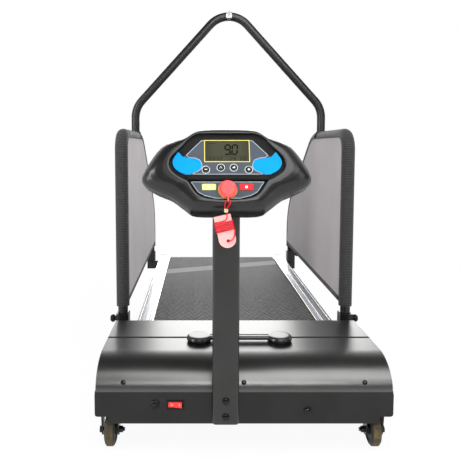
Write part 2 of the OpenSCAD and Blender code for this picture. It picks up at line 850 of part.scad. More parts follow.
module rear_roller() {
  color("#9a9c9e") in_place() translate([0, rear_roller_y, roller_z]) roller();
}

module roller_axles() {
  color("#b8babc") in_place() for (y = [front_roller_y, rear_roller_y])
    translate([0, y, roller_z]) rod_x(axle_r, -beam_out, beam_out);
}

// Rear end caps: they close the beams and slope down behind the rails
module end_caps() {
  low = beam_low - 2;
  color("#1c1c1c") in_place() both_sides() {
    across(beam_in, beam_out) polygon([[rail_rear, beam_top], [rail_rear, rail_top], [rail_rear + 14, rail_top - 1],
      [beam_rear - 4, beam_top + 8], [cap_rear, beam_top - 8], [cap_rear, low], [beam_rear, low], [beam_rear, beam_top]]);
    block([beam_in + beam_wall + 0.2, beam_rear - 12, beam_low + beam_wall + 0.2],
      [beam_out - beam_wall - 0.2, beam_rear + past, beam_top - beam_wall - 0.2]);
  }
}

// Drive

module motor() {
  shaft = axle_r + axle_fit;
  bell = 14;
  color("#4a4c4e") in_place() translate([0, motor_y, motor_z]) {
    turned_x([[shaft, motor_left], [motor_r - 8, motor_left], [motor_r - 4, motor_left + bell],
      [motor_r, motor_left + bell], [motor_r, motor_right - bell], [motor_r - 4, motor_right - bell],
      [motor_r - 8, motor_right], [shaft, motor_right]]);
    difference() {
      for (x = [motor_left + 2 * bell, motor_right - 2 * bell])
        block([x - 9, -motor_r + 4, -motor_r - motor_foot], [x + 9, motor_r - 4, -motor_r / 2]);
      rod_x(motor_r - past, motor_left, motor_right);
    }
  }
}

module motor_shaft() {
  left = pulley_x - drive_w / 2;
  right = pulley_x + drive_w / 2;
  flange = motor_pulley_r + 1.5;
  color("#a6a8aa") in_place() translate([0, motor_y, motor_z]) turned_x([[0, left - 1], [flange, left - 1],
    [motor_pulley_r, left], [motor_pulley_r, right], [flange, right + 1], [axle_r, right + 1],
    [axle_r, motor_right + 6], [flywheel_r, motor_right + 6], [flywheel_r, motor_right + 18], [0, motor_right + 18]]);
}

module drive_belt() {
  drive = [motor_y, motor_z, motor_pulley_r];
  driven = [front_roller_y, roller_z, roller_pulley_r];
  color("#1a1a1a") in_place() across(pulley_x - drive_w / 2 + 0.5, pulley_x + drive_w / 2 - 0.5)
    belt_loop(drive, driven, belt_gap, drive_t);
}

module controller_box() {
  depth = 90;
  height = 34;
  fins = 9;
  left = motor_right + 60;
  color("#3c3e40") in_place() translate([left, beam_front + cross_w + 4, pan_floor]) {
    cube([box_len, depth, height]);
    for (k = [0:fins - 1])
      translate([6 + k * (box_len - 15) / (fins - 1), 4, height - past]) cube([3, depth - 8, 10 + past]);
  }
}

// Hood

// Side view of the hood's outer skin, drawn in by an amount
module hood_side(inset) {
  a = hood_curve - inset;
  h = hood_h - inset;
  steps = 14;
  polygon(concat(
    [for (k = [0:steps]) [hood_curve - a * cos(90 * k / steps), plate_top + h * sin(90 * k / steps)]],
    [[tray_len - inset, plate_top + h], [tray_len - inset, plate_top], [inset, plate_top]]));
}

hood_screw_t = asin(hood_screw_h / hood_h);
hood_screw_y = hood_curve * (1 - cos(hood_screw_t));
hood_screw_tilt = atan2(hood_h * cos(hood_screw_t), hood_curve * sin(hood_screw_t));

module at_hood_screws() {
  for (x = [-hood_screw_x, 0, hood_screw_x])
    translate([x, hood_screw_y, plate_top + hood_screw_h]) rotate([hood_screw_tilt, 0, 0]) children();
}

module hood() {
  window = beam_out + 3;
  color("#2b2b2a") in_place() difference() {
    across(-hood_w / 2, hood_w / 2) hood_side(0);
    translate([0, 0, -past]) across(hood_wall - hood_w / 2, hood_w / 2 - hood_wall) hood_side(hood_wall);
    block([-window, tray_len - rail_lap - past, plate_top - past], [window, tray_len + past, hood_top - hood_wall]);
    block([-seam_len / 2, seam_y - seam_w / 2, hood_top - seam_w], [seam_len / 2, seam_y + seam_w / 2, hood_top + past]);
    at_hood_screws() cylinder(r = 2.2, h = 30, center = true);
  }
}

module hood_screws() {
  color("#17181a") in_place() at_hood_screws() translate([0, 0, 0.2]) dome_bolt(hood_screw_r, 3, 2, 9);
}

// Carry grip: two round bosses joined by a raised bar
module carry_grip() {
  boss_r = boss_d / 2;
  boss_x = grip_len / 2 - boss_r;
  low = hood_top;
  color("#262626") in_place() translate([0, grip_y, low]) {
    both_sides() translate([boss_x, 0, 0]) rotate_extrude()
      polygon([[0, 0], [boss_r - 3, 0], [boss_r - 0.6, 4], [boss_r, boss_h / 2], [boss_r - 1.5, boss_h - 2.5],
        [boss_r - 4, boss_h - 0.6], [boss_r - 8, boss_h], [0, boss_h]]);
    across(-boss_x, boss_x) translate([0, grip_gap + grip_bar_t / 2]) round_rect(grip_bar_w, grip_bar_t, 4);
  }
}

// Switch, reset button and bolts on the front plate

module at_switch() {
  translate([switch_x, 0, plate_low + switch_h]) children();
}

rocker_pin_y = 5;

module switch_housing() {
  inner_w = rocker_w + 2.8;
  inner_h = rocker_h + 0.8;
  color("#1b1b1c") in_place() at_switch() difference() {
    union() {
      along(-2, 0) round_rect(rocker_w + 9, rocker_h + 7, 1.5);
      along(-past, 20) square([inner_w + 2 * switch_wall, inner_h + 2 * switch_wall], center = true);
    }
    along(-2 - past, 16) square([inner_w, inner_h], center = true);
    translate([0, rocker_pin_y, 0]) cylinder(r = 1.55, h = inner_h + 2, center = true, $fn = 24);
  }
}

// Rocker at rest with one end pressed in
module rocker() {
  half = rocker_w / 2;
  face = 7;
  color("#d8181c") in_place() at_switch() translate([0, rocker_pin_y, 0]) rotate([0, 0, -rocker_a]) {
    linear_extrude(rocker_h, center = true)
      polygon([[-half, -face], [-half / 2, -face + 1.2], [0, -face + 1.6], [half / 2, -face + 1.2], [half, -face],
        [half - 1, 0], [5, 4], [-5, 4], [1 - half, 0]]);
    cylinder(r = 1.5, h = rocker_h + 2, center = true, $fn = 24);
  }
}

module at_reset() {
  translate([reset_x, 0, plate_low + switch_h]) children();
}

module reset_bush() {
  hole = reset_r + 0.08;
  neck = reset_r + 2.5;
  color("#202122") in_place() at_reset() turned_y([[hole, -4], [reset_bush_r - 2, -4], [reset_bush_r, -2.5],
    [reset_bush_r, 0], [neck, 0], [neck, 24], [0, 24], [0, 20], [hole, 20]]);
}

module reset_button() {
  color("#101011") in_place() at_reset()
    turned_y([[0, -9], [reset_r - 1.5, -9], [reset_r, -7.5], [reset_r, 20 - reset_travel - 2], [0, 20 - reset_travel - 2]]);
}

module plate_bolts() {
  washer_r = 9;
  color("#1a1b1d") in_place() {
    for (k = [0, 1])
      translate([mast_x, -mast_d, mast_low + mast_bolt_low + k * mast_bolt_gap])
        rotate([90, 0, 0]) dome_bolt(7, 5, bolt_r, mast_d + plate_t + 8);
    translate([plate_bolt_x, 0, plate_low + plate_bolt_h]) {
      rotate([90, 0, 0]) translate([0, 0, 1.5]) dome_bolt(7, 4.5, bolt_r, plate_t + 8);
      rod_y(washer_r, -1.5, 0);
    }
  }
}

// Casters

module at_caster() {
  translate([caster_x, caster_y, axle_z]) children();
}

module caster_fork() {
  plate_half = 17;
  boss = 11;
  up = fork_top - axle_z;
  difference() {
    union() {
      for (x = [-fork_out, fork_in])
        across(x, x + fork_t) {
          circle(boss);
          polygon([[-boss, 0], [boss, 0], [plate_half, up], [-plate_half, up]]);
        }
      block([-fork_out, -plate_half, up - fork_t], [fork_out, plate_half, up]);
    }
    rod_x(wheel_bolt_r, -fork_out - past, fork_out + past);
  }
}

module caster_forks() {
  color("#2a2a2a") in_place() both_sides() at_caster() caster_fork();
}

module caster_wheel() {
  half = wheel_w / 2;
  r = wheel_d / 2;
  bore = wheel_bolt_r + axle_fit;
  turned_x([[bore, -half - 2], [10, -half - 2], [10, -half + 3], [r - 12, -half + 3], [r - 8, -half], [r - 3, 2 - half],
    [r, 5 - half], [r, half - 5], [r - 3, half - 2], [r - 8, half], [r - 12, half - 3], [10, half - 3], [10, half + 2],
    [bore, half + 2]]);
}

module wheel_right() {
  color("#4a4636") in_place() at_caster() caster_wheel();
}

module wheel_left() {
  color("#4a4636") in_place() mirror([1, 0, 0]) at_caster() caster_wheel();
}

module wheel_bolts() {
  nut = 7;
  color("#9b9c9e") in_place() both_sides() at_caster() {
    rod_x(wheel_bolt_r, -fork_out - nut - 4, fork_out + past);
    translate([fork_out, 0, 0]) rotate([0, 90, 0]) cylinder(r = 7.5, h = 5, $fn = 6);
    translate([-fork_out - nut, 0, 0]) rotate([0, 90, 0]) cylinder(r = 7.5, h = nut, $fn = 6);
  }
}

// Mast and console

module mast() {
  color("#3a3a38") in_place() difference() {
    translate([mast_x, -mast_d / 2, mast_low]) linear_extrude(mast_top - mast_low) round_rect(mast_w, mast_d, mast_r);
    translate([mast_x, -mast_d / 2, mast_low + mast_wall]) linear_extrude(mast_top - mast_low)
      round_rect(mast_w - 2 * mast_wall, mast_d - 2 * mast_wall, mast_r - mast_wall);
    for (k = [0, 1])
      translate([mast_x, 0, mast_low + mast_bolt_low + k * mast_bolt_gap]) rod_y(bolt_r, -mast_d - past, past);
  }
}

// Wall of the hollow shells behind the face, and the size of the hollow's outline
shell_wall = 3;
inner_k = 0.96;
shell_line = outline_of(shell_half);
pocket_line = outline_of(pocket_half);
rear_line = outline_of(rear_half);

// Front shell: its outline rolls over to the rim of a pocket that holds the two panels
module console_front() {
  rim = 2;
  roll = front_d + rim;
  color("#2e2e2c") in_place() on_face() loft(concat(
    [ring_at(pocket_line * 0.95, panel_w0 - shell_wall), ring_at(shell_line * inner_k, -front_d)],
    [for (k = [0:roll_steps]) let (a = 90 * k / roll_steps)
      ring_at(between(shell_line, pocket_line, 1 - cos(a)), -front_d + roll * sin(a))],
    [ring_at(pocket_line * 0.995, panel_w0)]));
}

module console_back() {
  steps = 5;
  color("#2a2a29") in_place() difference() {
    on_face() loft(concat(
      [for (k = [0:steps]) let (a = 90 * k / steps)
        ring_at(between(rear_line, shell_line, sin(a)), -front_d - back_d * cos(a))],
      [for (k = [steps:-1:0]) let (a = 90 * k / steps)
        ring_at(between(rear_line, shell_line, sin(a)) * inner_k, -front_d - (back_d - shell_wall) * cos(a))]));
    translate([mast_x, -mast_d / 2, mast_low]) linear_extrude(mast_top + 0.3 - mast_low)
      round_rect(mast_w + 0.6, mast_d + 0.6, mast_r + 0.3);
  }
}

// A panel with true round corners: a slab of the outline's own shape
module face_slab(points, w0, w1) {
  translate([0, 0, w0]) linear_extrude(w1 - w0) polygon(points);
}

display_half = [[48, 72.5], [79.5, 39], [79.5, 2]];
control_half = [[68.5, -10.5], [54.5, -32], [43, -39], [22, -44.6]];

function mirrored_closed(half) =
  concat(half, [for (i = [len(half) - 1:-1:0]) [-half[i][0], half[i][1]]]);

module button_hole(u, v) {
  translate([u, v, panel_w0 - past]) cylinder(r = button_d / 2 + button_fit, h = panel_t + 2 * past);
}

module bar_button_hole(u) {
  translate([u, bar_button_v, panel_w0 - past]) linear_extrude(panel_t + 2 * past)
    round_rect(bar_button_w + 2 * button_fit, bar_button_h + 2 * button_fit, 2.5);
}

// Right wave pad: a rounded tongue with a tip that points up and out
pad_points = [[90.2, 47.4], [82.5, 38.8], [71.3, 35.2], [60.2, 34.7], [51.2, 30.5], [47.3, 22], [48.6, 15.6],
  [54, 10.7], [62, 6.9], [67, 3.6], [73.5, 3], [84.4, 6.1], [95.7, 14.2], [100.8, 25.2], [99.1, 34.7], [94.6, 42.2]];
pad_middle = [74, 22];

module pad_shape(k) {
  polygon([for (p = closed_curve(pad_points, curve_steps)) pad_middle + (p - pad_middle) * k]);
}

module wave_pads() {
  color("#12aef7") in_place() on_face() both_sides() translate([0, 0, panel_w0])
    linear_extrude(panel_t) pad_shape(1);
}

module display_panel() {
  color("#4e565e") in_place() on_face() difference() {
    face_slab(mirrored_closed(display_half), panel_w0, panel_w1);
    translate([0, lcd_v, panel_w0 - past]) linear_extrude(panel_t + 2 * past)
      square([lcd_w + 0.4, lcd_h + 0.4], center = true);
    for (s = [-1, 1]) {
      button_hole(s * outer_button_u, outer_button_v);
      button_hole(s * inner_button_u, inner_button_v);
    }
    both_sides() translate([0, 0, panel_w0 - past]) linear_extrude(panel_t + 2 * past) pad_shape(1.015);
  }
}

module control_panel() {
  color("#4e565e") in_place() on_face() difference() {
    face_slab(mirrored_closed(control_half), panel_w0, panel_w1);
    for (s = [-1, 1])
      bar_button_hole(s * bar_button_u);
    translate([0, key_v, panel_w0 - past]) cylinder(r = key_stem_r + 0.1, h = panel_t + 2 * past);
  }
}

// Rounded ridge between the two panels
brow_v = -4.4;

module console_brow() {
  color("#2e2e2c") in_place() on_face() intersection() {
    translate([0, brow_v, panel_w0]) rotate([0, 90, 0]) cylinder(r = panel_t + brow_h, h = brow_len, center = true);
    translate([-brow_len / 2, brow_v - brow_w / 2, panel_w0]) cube([brow_len, brow_w, 2 * (panel_t + brow_h)]);
  }
}

module lcd_glass() {
  color("#5c5a46") in_place() on_face()
    translate([0, lcd_v, panel_w0]) linear_extrude(panel_t - 0.6) square([lcd_w, lcd_h], center = true);
}

button_w0 = panel_w0 + button_travel + 0.2;

module round_button(u, v) {
  r = button_d / 2;
  top = panel_w1 + button_rise;
  color("#151515") in_place() on_face() translate([u, v, 0]) rotate_extrude()
    polygon([[0, button_w0], [r, button_w0], [r, top - 1.2], [r - 1, top - 0.3], [r - 2.4, top], [0, top]]);
}

module bar_button(u, tone) {
  color(tone) in_place() on_face() translate([u, bar_button_v, button_w0])
    linear_extrude(panel_w1 + button_rise - 0.3 - button_w0) round_rect(bar_button_w, bar_button_h, 2.2);
}

module button_minus() {
  round_button(-outer_button_u, outer_button_v);
}

module button_preset_left() {
  round_button(-inner_button_u, inner_button_v);
}

module button_preset_right() {
  round_button(inner_button_u, inner_button_v);
}

module button_plus() {
  round_button(outer_button_u, outer_button_v);
}

module button_start() {
  bar_button(-bar_button_u, "#e2efa0");
}

module button_stop() {
  bar_button(bar_button_u, "#dc1420");
}

module key_ring() {
  color("#e0bd20") in_place() on_face() translate([0, key_v, panel_w1]) difference() {
    cylinder(r = ring_d / 2, h = ring_t);
    translate([0, 0, -past]) cylinder(r = key_stem_r + 0.1, h = ring_t + 2 * past);
  }
}

// Safety key: a disc with a finger ridge, a stem and a lug for the lanyard
module safety_key() {
  r = key_d / 2;
  color("#f4605f") in_place() on_face() difference() {
    union() {
      translate([0, key_v, 0]) rotate_extrude() polygon([[0, panel_w0 + 0.4], [key_stem_r, panel_w0 + 0.4],
        [key_stem_r, key_w0], [r - 1, key_w0], [r, key_w0 + 1], [r, key_w1 - 5], [r - 1.5, key_w1 - 3.4],
        [r - 5, key_w1 - 2.4], [0, key_w1 - 2]]);
      translate([0, key_v, key_w1 - 4]) rotate([0, 0, -20]) translate([-1.2, -r + 4, 0]) cube([2.4, 2 * r - 8, 4]);
      translate([-1, lug_v, key_w1 - 6]) cube([2, lug_l, 6]);
    }
    translate([0, lug_hole_v, key_w1 - 3]) rotate([0, 90, 0])
      cylinder(r = lug_hole_r, h = 4, center = true, $fn = 24);
  }
}

// Lanyard

module lanyard_cord() {
  color("#d80f28") in_place() cord_tube(lanyard_route, cord_d / 2, 8, [0, -1, 0]);
}

module lanyard_crimp() {
  color("#c9b48a") in_place() translate([crimp_at[0], crimp_at[1], 0]) {
    translate([0, 0, crimp_at[2] - crimp_h]) linear_extrude(crimp_h) round_rect(7, 4.6, 2);
  }
}

module lanyard_winding() {
  color("#d80f28") in_place() cord_tube(winding_route(), cord_d / 2, 6, [0, 0, 1]);
}

// Winder tag: rounded long edges and a round lower end
module winder_tag() {
  half = tag_w / 2;
  flat = half - tag_t / 2;
  color("#f99a98") in_place() translate(tag_at) rotate([0, -tag_lean, 0]) difference() {
    union() {
      linear_extrude(tag_l - half) {
        square([2 * flat, tag_t], center = true);
        for (x = [-flat, flat])
          translate([x, 0]) circle(tag_t / 2);
      }
      difference() {
        rod_y(half, -tag_t / 2, tag_t / 2);
        block([-tag_w, -tag_t, lap], [tag_w, tag_t, tag_w]);
      }
    }
    translate([tail_hole[0], 0, tail_hole[1]]) rod_y(tag_hole_r, -tag_t, tag_t);
  }
}

// Side panels

// Runs of a panel tube from a given height up the front post and down to that height again
function panel_runs(low) = [[frame_top - corner_r - low, 90, corner_r],
  [slope_y - front_post_y - corner_r, slope_a, slope_r],
  [slope_len, 90 - slope_a, slope_r],
  [frame_top - slope_drop - low]];

module on_panel(low) {
  translate([post_x, front_post_y, low]) rotate([0, -90, 0]) children();
}

module panel_rods(r, low) {
  on_panel(low) bent_rod(r, panel_runs(low));
  translate([post_x, 0, low_bar_z]) rod_y(r, front_post_y, rear_post_y);
}

module at_posts() {
  for (y = [front_post_y, rear_post_y])
    translate([post_x, y, 0]) children();
}

module panel_frames() {
  color("#2c2c2c") in_place() both_sides() difference() {
    union() {
      panel_rods(tube_r, post_foot);
      translate([post_x, arch_y, socket_low]) cylinder(r = tube_r, h = socket_top - socket_low);
    }
    panel_rods(tube_r - tube_wall, post_foot - past);
    translate([post_x, arch_y, socket_low + 4]) cylinder(r = spigot_r + spigot_fit, h = socket_top - socket_low);
    at_posts() translate([0, 0, bracket_bolt_z]) rod_y(bolt_r, -web_y - past, web_y + past);
  }
}

// Outline of a panel at a distance from the middles of its tubes, with its bends as arcs
function panel_line(d) = concat(
  [[front_post_y - d, low_bar_z - d]],
  arc_points([front_post_y + corner_r, frame_top - corner_r], corner_r + d, 180, 90, 12),
  arc_points([slope_y, frame_top - slope_r], slope_r + d, 90, 90 - slope_a, 8),
  arc_points([rear_post_y - slope_r, frame_top - slope_drop], slope_r + d, 90 - slope_a, 0, 14),
  [[rear_post_y + d, low_bar_z - d]]);

// Fabric bag over the frame, open where the posts and the socket come out
module panel_cover() {
  hollow = tube_r + cover_gap;
  difference() {
    across(post_x - cover_r, post_x + cover_r) polygon(panel_line(cover_r));
    across(post_x - hollow, post_x + hollow) polygon(panel_line(hollow));
    at_posts() translate([0, 0, panel_low - past]) cylinder(r = hollow, h = cover_r);
    translate([post_x, arch_y, frame_top]) cylinder(r = hollow, h = 2 * cover_r);
  }
}

module panel_cover_right() {
  color("#aba6a8") in_place() panel_cover();
}

module panel_cover_left() {
  color("#aba6a8") in_place() mirror([1, 0, 0]) panel_cover();
}

// Foot bracket: a channel round the post's foot, with a gusset to the side beam
module foot_bracket() {
  high = bracket_low + bracket_h;
  gusset = bracket_low + 32;
  difference() {
    union() {
      block([ear_in, -web_y, bracket_low], [ear_out, web_y, high]);
      block([beam_out, -web_y, bracket_low], [ear_in + past, web_y, gusset]);
    }
    block([ear_in + bracket_t, bracket_t - web_y, post_foot], [ear_out - bracket_t, web_y + past, high + past]);
    translate([post_x, 0, bracket_bolt_z]) rod_y(bolt_r, -web_y - past, web_y);
    translate([0, 0, knob_z]) rod_x(bolt_r + axle_fit, post_x, ear_out + past);
  }
}

module foot_brackets() {
  color("#242424") in_place() both_sides() for (y = [front_post_y, rear_post_y])
    translate([0, y, 0]) foot_bracket();
}

module bracket_bolts() {
  color("#8d8f92") in_place() both_sides() at_posts() translate([0, 0, bracket_bolt_z]) {
    translate([0, -web_y, 0]) rotate([90, 0, 0]) dome_bolt(6.5, 4, bolt_r, web_y + tube_r + 3);
    translate([0, tube_r + 0.2, 0]) rotate([-90, 0, 0]) cylinder(r = 7, h = 6, $fn = 6);
  }
}

// Hand knob: a fluted ball on a neck, with a screw that clamps the post
module knob() {
  neck = 4;
  flutes = 6;
  tip = post_x + tube_r + 0.3;
  translate([0, 0, knob_z]) difference() {
    turned_x([[0, tip], [bolt_r, tip], [bolt_r, ear_out + 0.3], [6, ear_out + 0.3], [6, ear_out + neck],
      [knob_r, ear_out + neck + 3], [knob_r, ear_out + knob_len - 4], [knob_r - 3, ear_out + knob_len],
      [0, ear_out + knob_len]]);
    for (k = [0:flutes - 1])
      rotate([360 * k / flutes, 0, 0]) translate([0, 0, knob_r + 1.2])
        rod_x(2.8, ear_out + neck + 1, ear_out + knob_len + past);
  }
}

module knob_front_right() {
  color("#181818") in_place() translate([0, front_post_y, 0]) knob();
}

module knob_front_left() {
  color("#181818") in_place() mirror([1, 0, 0]) translate([0, front_post_y, 0]) knob();
}

module knob_rear_right() {
  color("#181818") in_place() translate([0, rear_post_y, 0]) knob();
}

module knob_rear_left() {
  color("#181818") in_place() mirror([1, 0, 0]) translate([0, rear_post_y, 0]) knob();
}

// Arch

eye_z = arch_top - tube_r;

function arch_runs(plug) = let (leg = arch_bend_z - leg_low - plug)
  [[leg, arch_turn, arch_r], [arch_side, 2 * arch_a, arch_r], [arch_side, arch_turn, arch_r], [leg]];

// A tube drawn along +X and +Y stands up over the left leg and leans to the right
module arch_rod(r, plug) {
  translate([-post_x, arch_y, leg_low + plug])
    multmatrix([[0, 1, 0, 0], [0, 0, 1, 0], [1, 0, 0, 0]]) bent_rod(r, arch_runs(plug));
}

module arch_bar() {
  plug = 12;
  color("#3a3a38") in_place() difference() {
    union() {
      arch_rod(tube_r, 0);
      both_sides() translate([post_x, arch_y, leg_low - spigot_len]) cylinder(r = spigot_r, h = spigot_len + past);
    }
    arch_rod(tube_r - tube_wall, plug);
    translate([0, arch_y, eye_z]) rod_y(eye_neck, -2 * tube_r, 2 * tube_r);
  }
}

// Leash eye: a flanged bush through the top of the arch
module leash_eye() {
  front = tube_r + eye_t;
  seat = tube_r + lap_rise;
  color("#c9cbcd") in_place() translate([0, arch_y, eye_z]) turned_y([[eye_r, 2 - front], [eye_r + 1.5, -front],
    [eye_out - 3, -front], [eye_out, 3 - front], [eye_out, -seat], [eye_neck, -seat], [eye_neck, seat],
    [eye_out - 1, seat], [eye_out - 1, front - 4], [eye_r, front - 4]]);
}

front_tray();
side_beams();
cross_tubes();
rear_feet();
foot_rail_left();
foot_rail_right();
deck_board();
deck_cushions();
running_belt();
front_roller();
rear_roller();
roller_axles();
motor();
motor_shaft();
drive_belt();
controller_box();
hood();
hood_screws();
carry_grip();
end_caps();
switch_housing();
rocker();
reset_bush();
reset_button();
plate_bolts();
caster_forks();
wheel_left();
wheel_right();
wheel_bolts();
mast();
console_front();
console_back();
display_panel();
control_panel();
console_brow();
lcd_glass();
wave_pads();
button_minus();
button_preset_left();
button_preset_right();
button_plus();
button_start();
button_stop();
key_ring();
safety_key();
lanyard_cord();
lanyard_crimp();
lanyard_winding();
winder_tag();
panel_frames();
panel_cover_left();
panel_cover_right();
foot_brackets();
bracket_bolts();
knob_front_left();
knob_front_right();
knob_rear_left();
knob_rear_right();
arch_bar();
leash_eye();
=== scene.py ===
import json
import math

import bpy
import numpy as np
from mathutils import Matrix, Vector


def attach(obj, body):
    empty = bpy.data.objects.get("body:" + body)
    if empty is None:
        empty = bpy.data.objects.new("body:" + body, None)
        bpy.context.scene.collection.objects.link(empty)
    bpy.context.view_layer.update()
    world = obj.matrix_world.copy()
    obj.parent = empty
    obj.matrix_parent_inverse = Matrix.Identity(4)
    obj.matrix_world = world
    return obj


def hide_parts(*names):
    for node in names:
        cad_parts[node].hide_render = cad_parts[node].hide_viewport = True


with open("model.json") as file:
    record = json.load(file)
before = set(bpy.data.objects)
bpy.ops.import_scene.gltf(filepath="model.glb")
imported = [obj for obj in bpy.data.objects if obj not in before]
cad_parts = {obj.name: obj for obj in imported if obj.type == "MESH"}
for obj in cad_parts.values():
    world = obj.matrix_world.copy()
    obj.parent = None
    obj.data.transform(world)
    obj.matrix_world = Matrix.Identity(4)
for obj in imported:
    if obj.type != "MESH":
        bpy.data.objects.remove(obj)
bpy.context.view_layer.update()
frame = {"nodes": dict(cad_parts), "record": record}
print("frame loaded:", len(frame["nodes"]), "nodes")

mm = 0.001
plateY = -553.254  # row y of the machine's front plate, in millimetres


# machine millimetres (y from the front plate) to row metres
def placed(points):
    return (np.asarray(points, float) + [0, plateY, 0]) * mm


# console face: u sideways, v up the face, w out of it, leaning back by 25 degrees
consoleFace = dict(at=(-38, -60, 570), lean=25)


def onConsole(uvw):
    u, v, w = np.moveaxis(np.asarray(uvw, float), -1, 0)
    s, c = math.sin(math.radians(consoleFace["lean"])), math.cos(math.radians(consoleFace["lean"]))
    x, y, z = consoleFace["at"]
    return placed(np.stack([x + u, y + v * s - w * c, z + v * c + w * s], -1))


# vertices, faces and one UV pair per face corner become an object at the origin
def newPiece(name, verts, faces, uv=None, smooth=True):
    mesh = bpy.data.meshes.new(name)
    mesh.from_pydata(np.asarray(verts, float).reshape(-1, 3).tolist(), [], [list(map(int, f)) for f in faces])
    if uv is not None:
        mesh.uv_layers.new(name="flat").data.foreach_set("uv", np.asarray(uv, np.float32).ravel())
    mesh.polygons.foreach_set("use_smooth", [smooth] * len(mesh.polygons))
    mesh.update()
    piece = bpy.data.objects.new(name, mesh)
    bpy.context.scene.collection.objects.link(piece)
    return piece


# quads over a grid of points (rows, columns); wrap joins the last column to the first, flip turns faces over
def gridFaces(rows, cols, u, v, wrap=False, flip=False):
    i, j = np.meshgrid(np.arange(rows - 1), np.arange(cols if wrap else cols - 1), indexing="ij")
    k = (j + 1) % cols
    quads = np.stack([i * cols + j, i * cols + k, (i + 1) * cols + k, (i + 1) * cols + j], -1)
    uv = np.stack([np.stack([u[j + a], v[i + b]], -1) for a, b in ((0, 0), (1, 0), (1, 1), (0, 1))], -2)
    if flip:
        quads, uv = quads[..., ::-1], uv[..., ::-1, :]
    return quads.reshape(-1, 4), uv.reshape(-1, 2)


# distance along a line to each of its points
def runLength(line):
    return np.concatenate([[0], np.cumsum(np.linalg.norm(np.diff(line, axis=0), axis=1))])


# Catmull-Rom line: each span is a cubic with slopes (next - last) / 2 at its ends
def smoothLine(points, perSpan):
    p = np.asarray(points, float)
    q = np.vstack([2 * p[0] - p[1], p, 2 * p[-1] - p[-2]])
    t = np.linspace(0, 1, perSpan, endpoint=False)[None, :, None]
    a, b, c, d = (q[k:len(q) - 3 + k][:, None] for k in range(4))
    line = 0.5 * (2 * b + (c - a) * t + (2 * a - 5 * b + 4 * c - d) * t ** 2
                  + (3 * b - a - 3 * c + d) * t ** 3)
    return np.vstack([line.reshape(-1, 3), p[-1:]])


# points at even steps along a line
def evenLine(line, step):
    s = runLength(line)
    at = np.linspace(0, s[-1], max(int(round(s[-1] / step)), 2) + 1)
    return np.stack([np.interp(at, s, part) for part in line.T], -1)


# even angles round a circle
def angles(count):
    return np.linspace(0, 2 * np.pi, count, endpoint=False)


# normals carried along the line with no twist, n - t (n t), and t x n beside them
def carriedFrames(line, start, closed=False):
    t = np.gradient(line, axis=0)
    if closed:
        t = np.roll(line, -1, 0) - np.roll(line, 1, 0)
    t /= np.linalg.norm(t, axis=1)[:, None]
    n, carried = np.asarray(start, float), np.empty_like(line)
    for k in range(len(line)):
        n = n - t[k] * (n @ t[k])
        n = n / np.linalg.norm(n)
        carried[k] = n
    return carried, np.cross(t, carried)


# round tube: line + r (cos a n + sin a b), with flat end faces or joined into a loop
def tubePiece(name, line, radius, sides, start, closed=False):
    n, b = carriedFrames(line, start, closed)
    a = angles(sides)
    rings = line[:, None] + radius * (np.cos(a)[:, None] * n[:, None] + np.sin(a)[:, None] * b[:, None])
    along = runLength(line)
    if closed:
        rings = np.concatenate([rings, rings[:1]])
        along = np.append(along, along[-1] + np.linalg.norm(line[0] - line[-1]))
    rows = len(rings)
    quads, uv = gridFaces(rows, sides, np.linspace(0, 1, sides + 1), along, wrap=True)
    verts = rings.reshape(-1, 3)
    if closed:
        n = (rows - 1) * sides
        return newPiece(name, verts[:n], quads % n, uv)
    ends = [np.arange(sides)[::-1], (rows - 1) * sides + np.arange(sides)]
    uv = np.vstack([uv, np.zeros((2 * sides, 2))])
    return newPiece(name, verts, [*quads, *ends], uv)


# half the sum of x y' - y x' round an outline
def signedArea(p):
    x, y = p.T
    return np.sum(x * np.roll(y, -1) - y * np.roll(x, -1)) / 2


# outline as an array that runs counter-clockwise
def counterClockwise(points):
    p = np.asarray(points, float)
    return p if signedArea(p) >= 0 else p[::-1]


# marks on the console face stand in its surface by this much, in millimetres
sunk = 0.02


# flat polygons raised from a level on the console face, with walls and open backs
def marksOnConsole(name, polygons, level, rise):
    verts, faces, base = [], [], 0
    for p in map(counterClockwise, polygons):
        n = len(p)
        verts += [np.column_stack([p, np.full(n, w)]) for w in (level + rise, level - sunk)]
        k = np.arange(n)
        wall = np.stack([k, k + n, (k + 1) % n + n, (k + 1) % n], -1) + base
        faces += [k + base, *wall]
        base += 2 * n
    return newPiece(name, onConsole(np.vstack(verts)), faces, smooth=False)


# flat ring between two outlines of the same point count, raised from a level on the console face
def ringOnConsole(name, outer, inner, level, rise):
    w0, w1, n = level - sunk, level + rise, len(outer)
    rows = [np.column_stack([p, np.full(n, w)])
            for p, w in ((outer, w0), (outer, w1), (inner, w1), (inner, w0))]
    quads, _ = gridFaces(4, n, np.zeros(n + 1), np.zeros(4), wrap=True)
    return newPiece(name, onConsole(np.vstack(rows)), quads, smooth=False)


# camera that took the photograph: place in machine millimetres, focal length and middle in pixels
cameraSet = dict(at=(-90.1, -1070.3, 622.4), focal=553.8, down=4.5, middle=(199.0, 190.3), image=460, film=36,
                 clip=(0.05, 60))


def photoCamera(s):
    data = bpy.data.cameras.new("photoCamera")
    data.sensor_width = s["film"]
    data.lens = s["focal"] / s["image"] * s["film"]
    data.shift_x = (s["image"] / 2 - s["middle"][0]) / s["image"]
    data.shift_y = (s["middle"][1] - s["image"] / 2) / s["image"]
    data.clip_start, data.clip_end = s["clip"]
    camera = bpy.data.objects.new("photoCamera", data)
    camera.location = Vector(placed(s["at"]))
    camera.rotation_euler = (math.radians(90 - s["down"]), 0, 0)
    bpy.context.scene.collection.objects.link(camera)
    return camera


bpy.context.scene.camera = photoCamera(cameraSet)
print("camera placed")


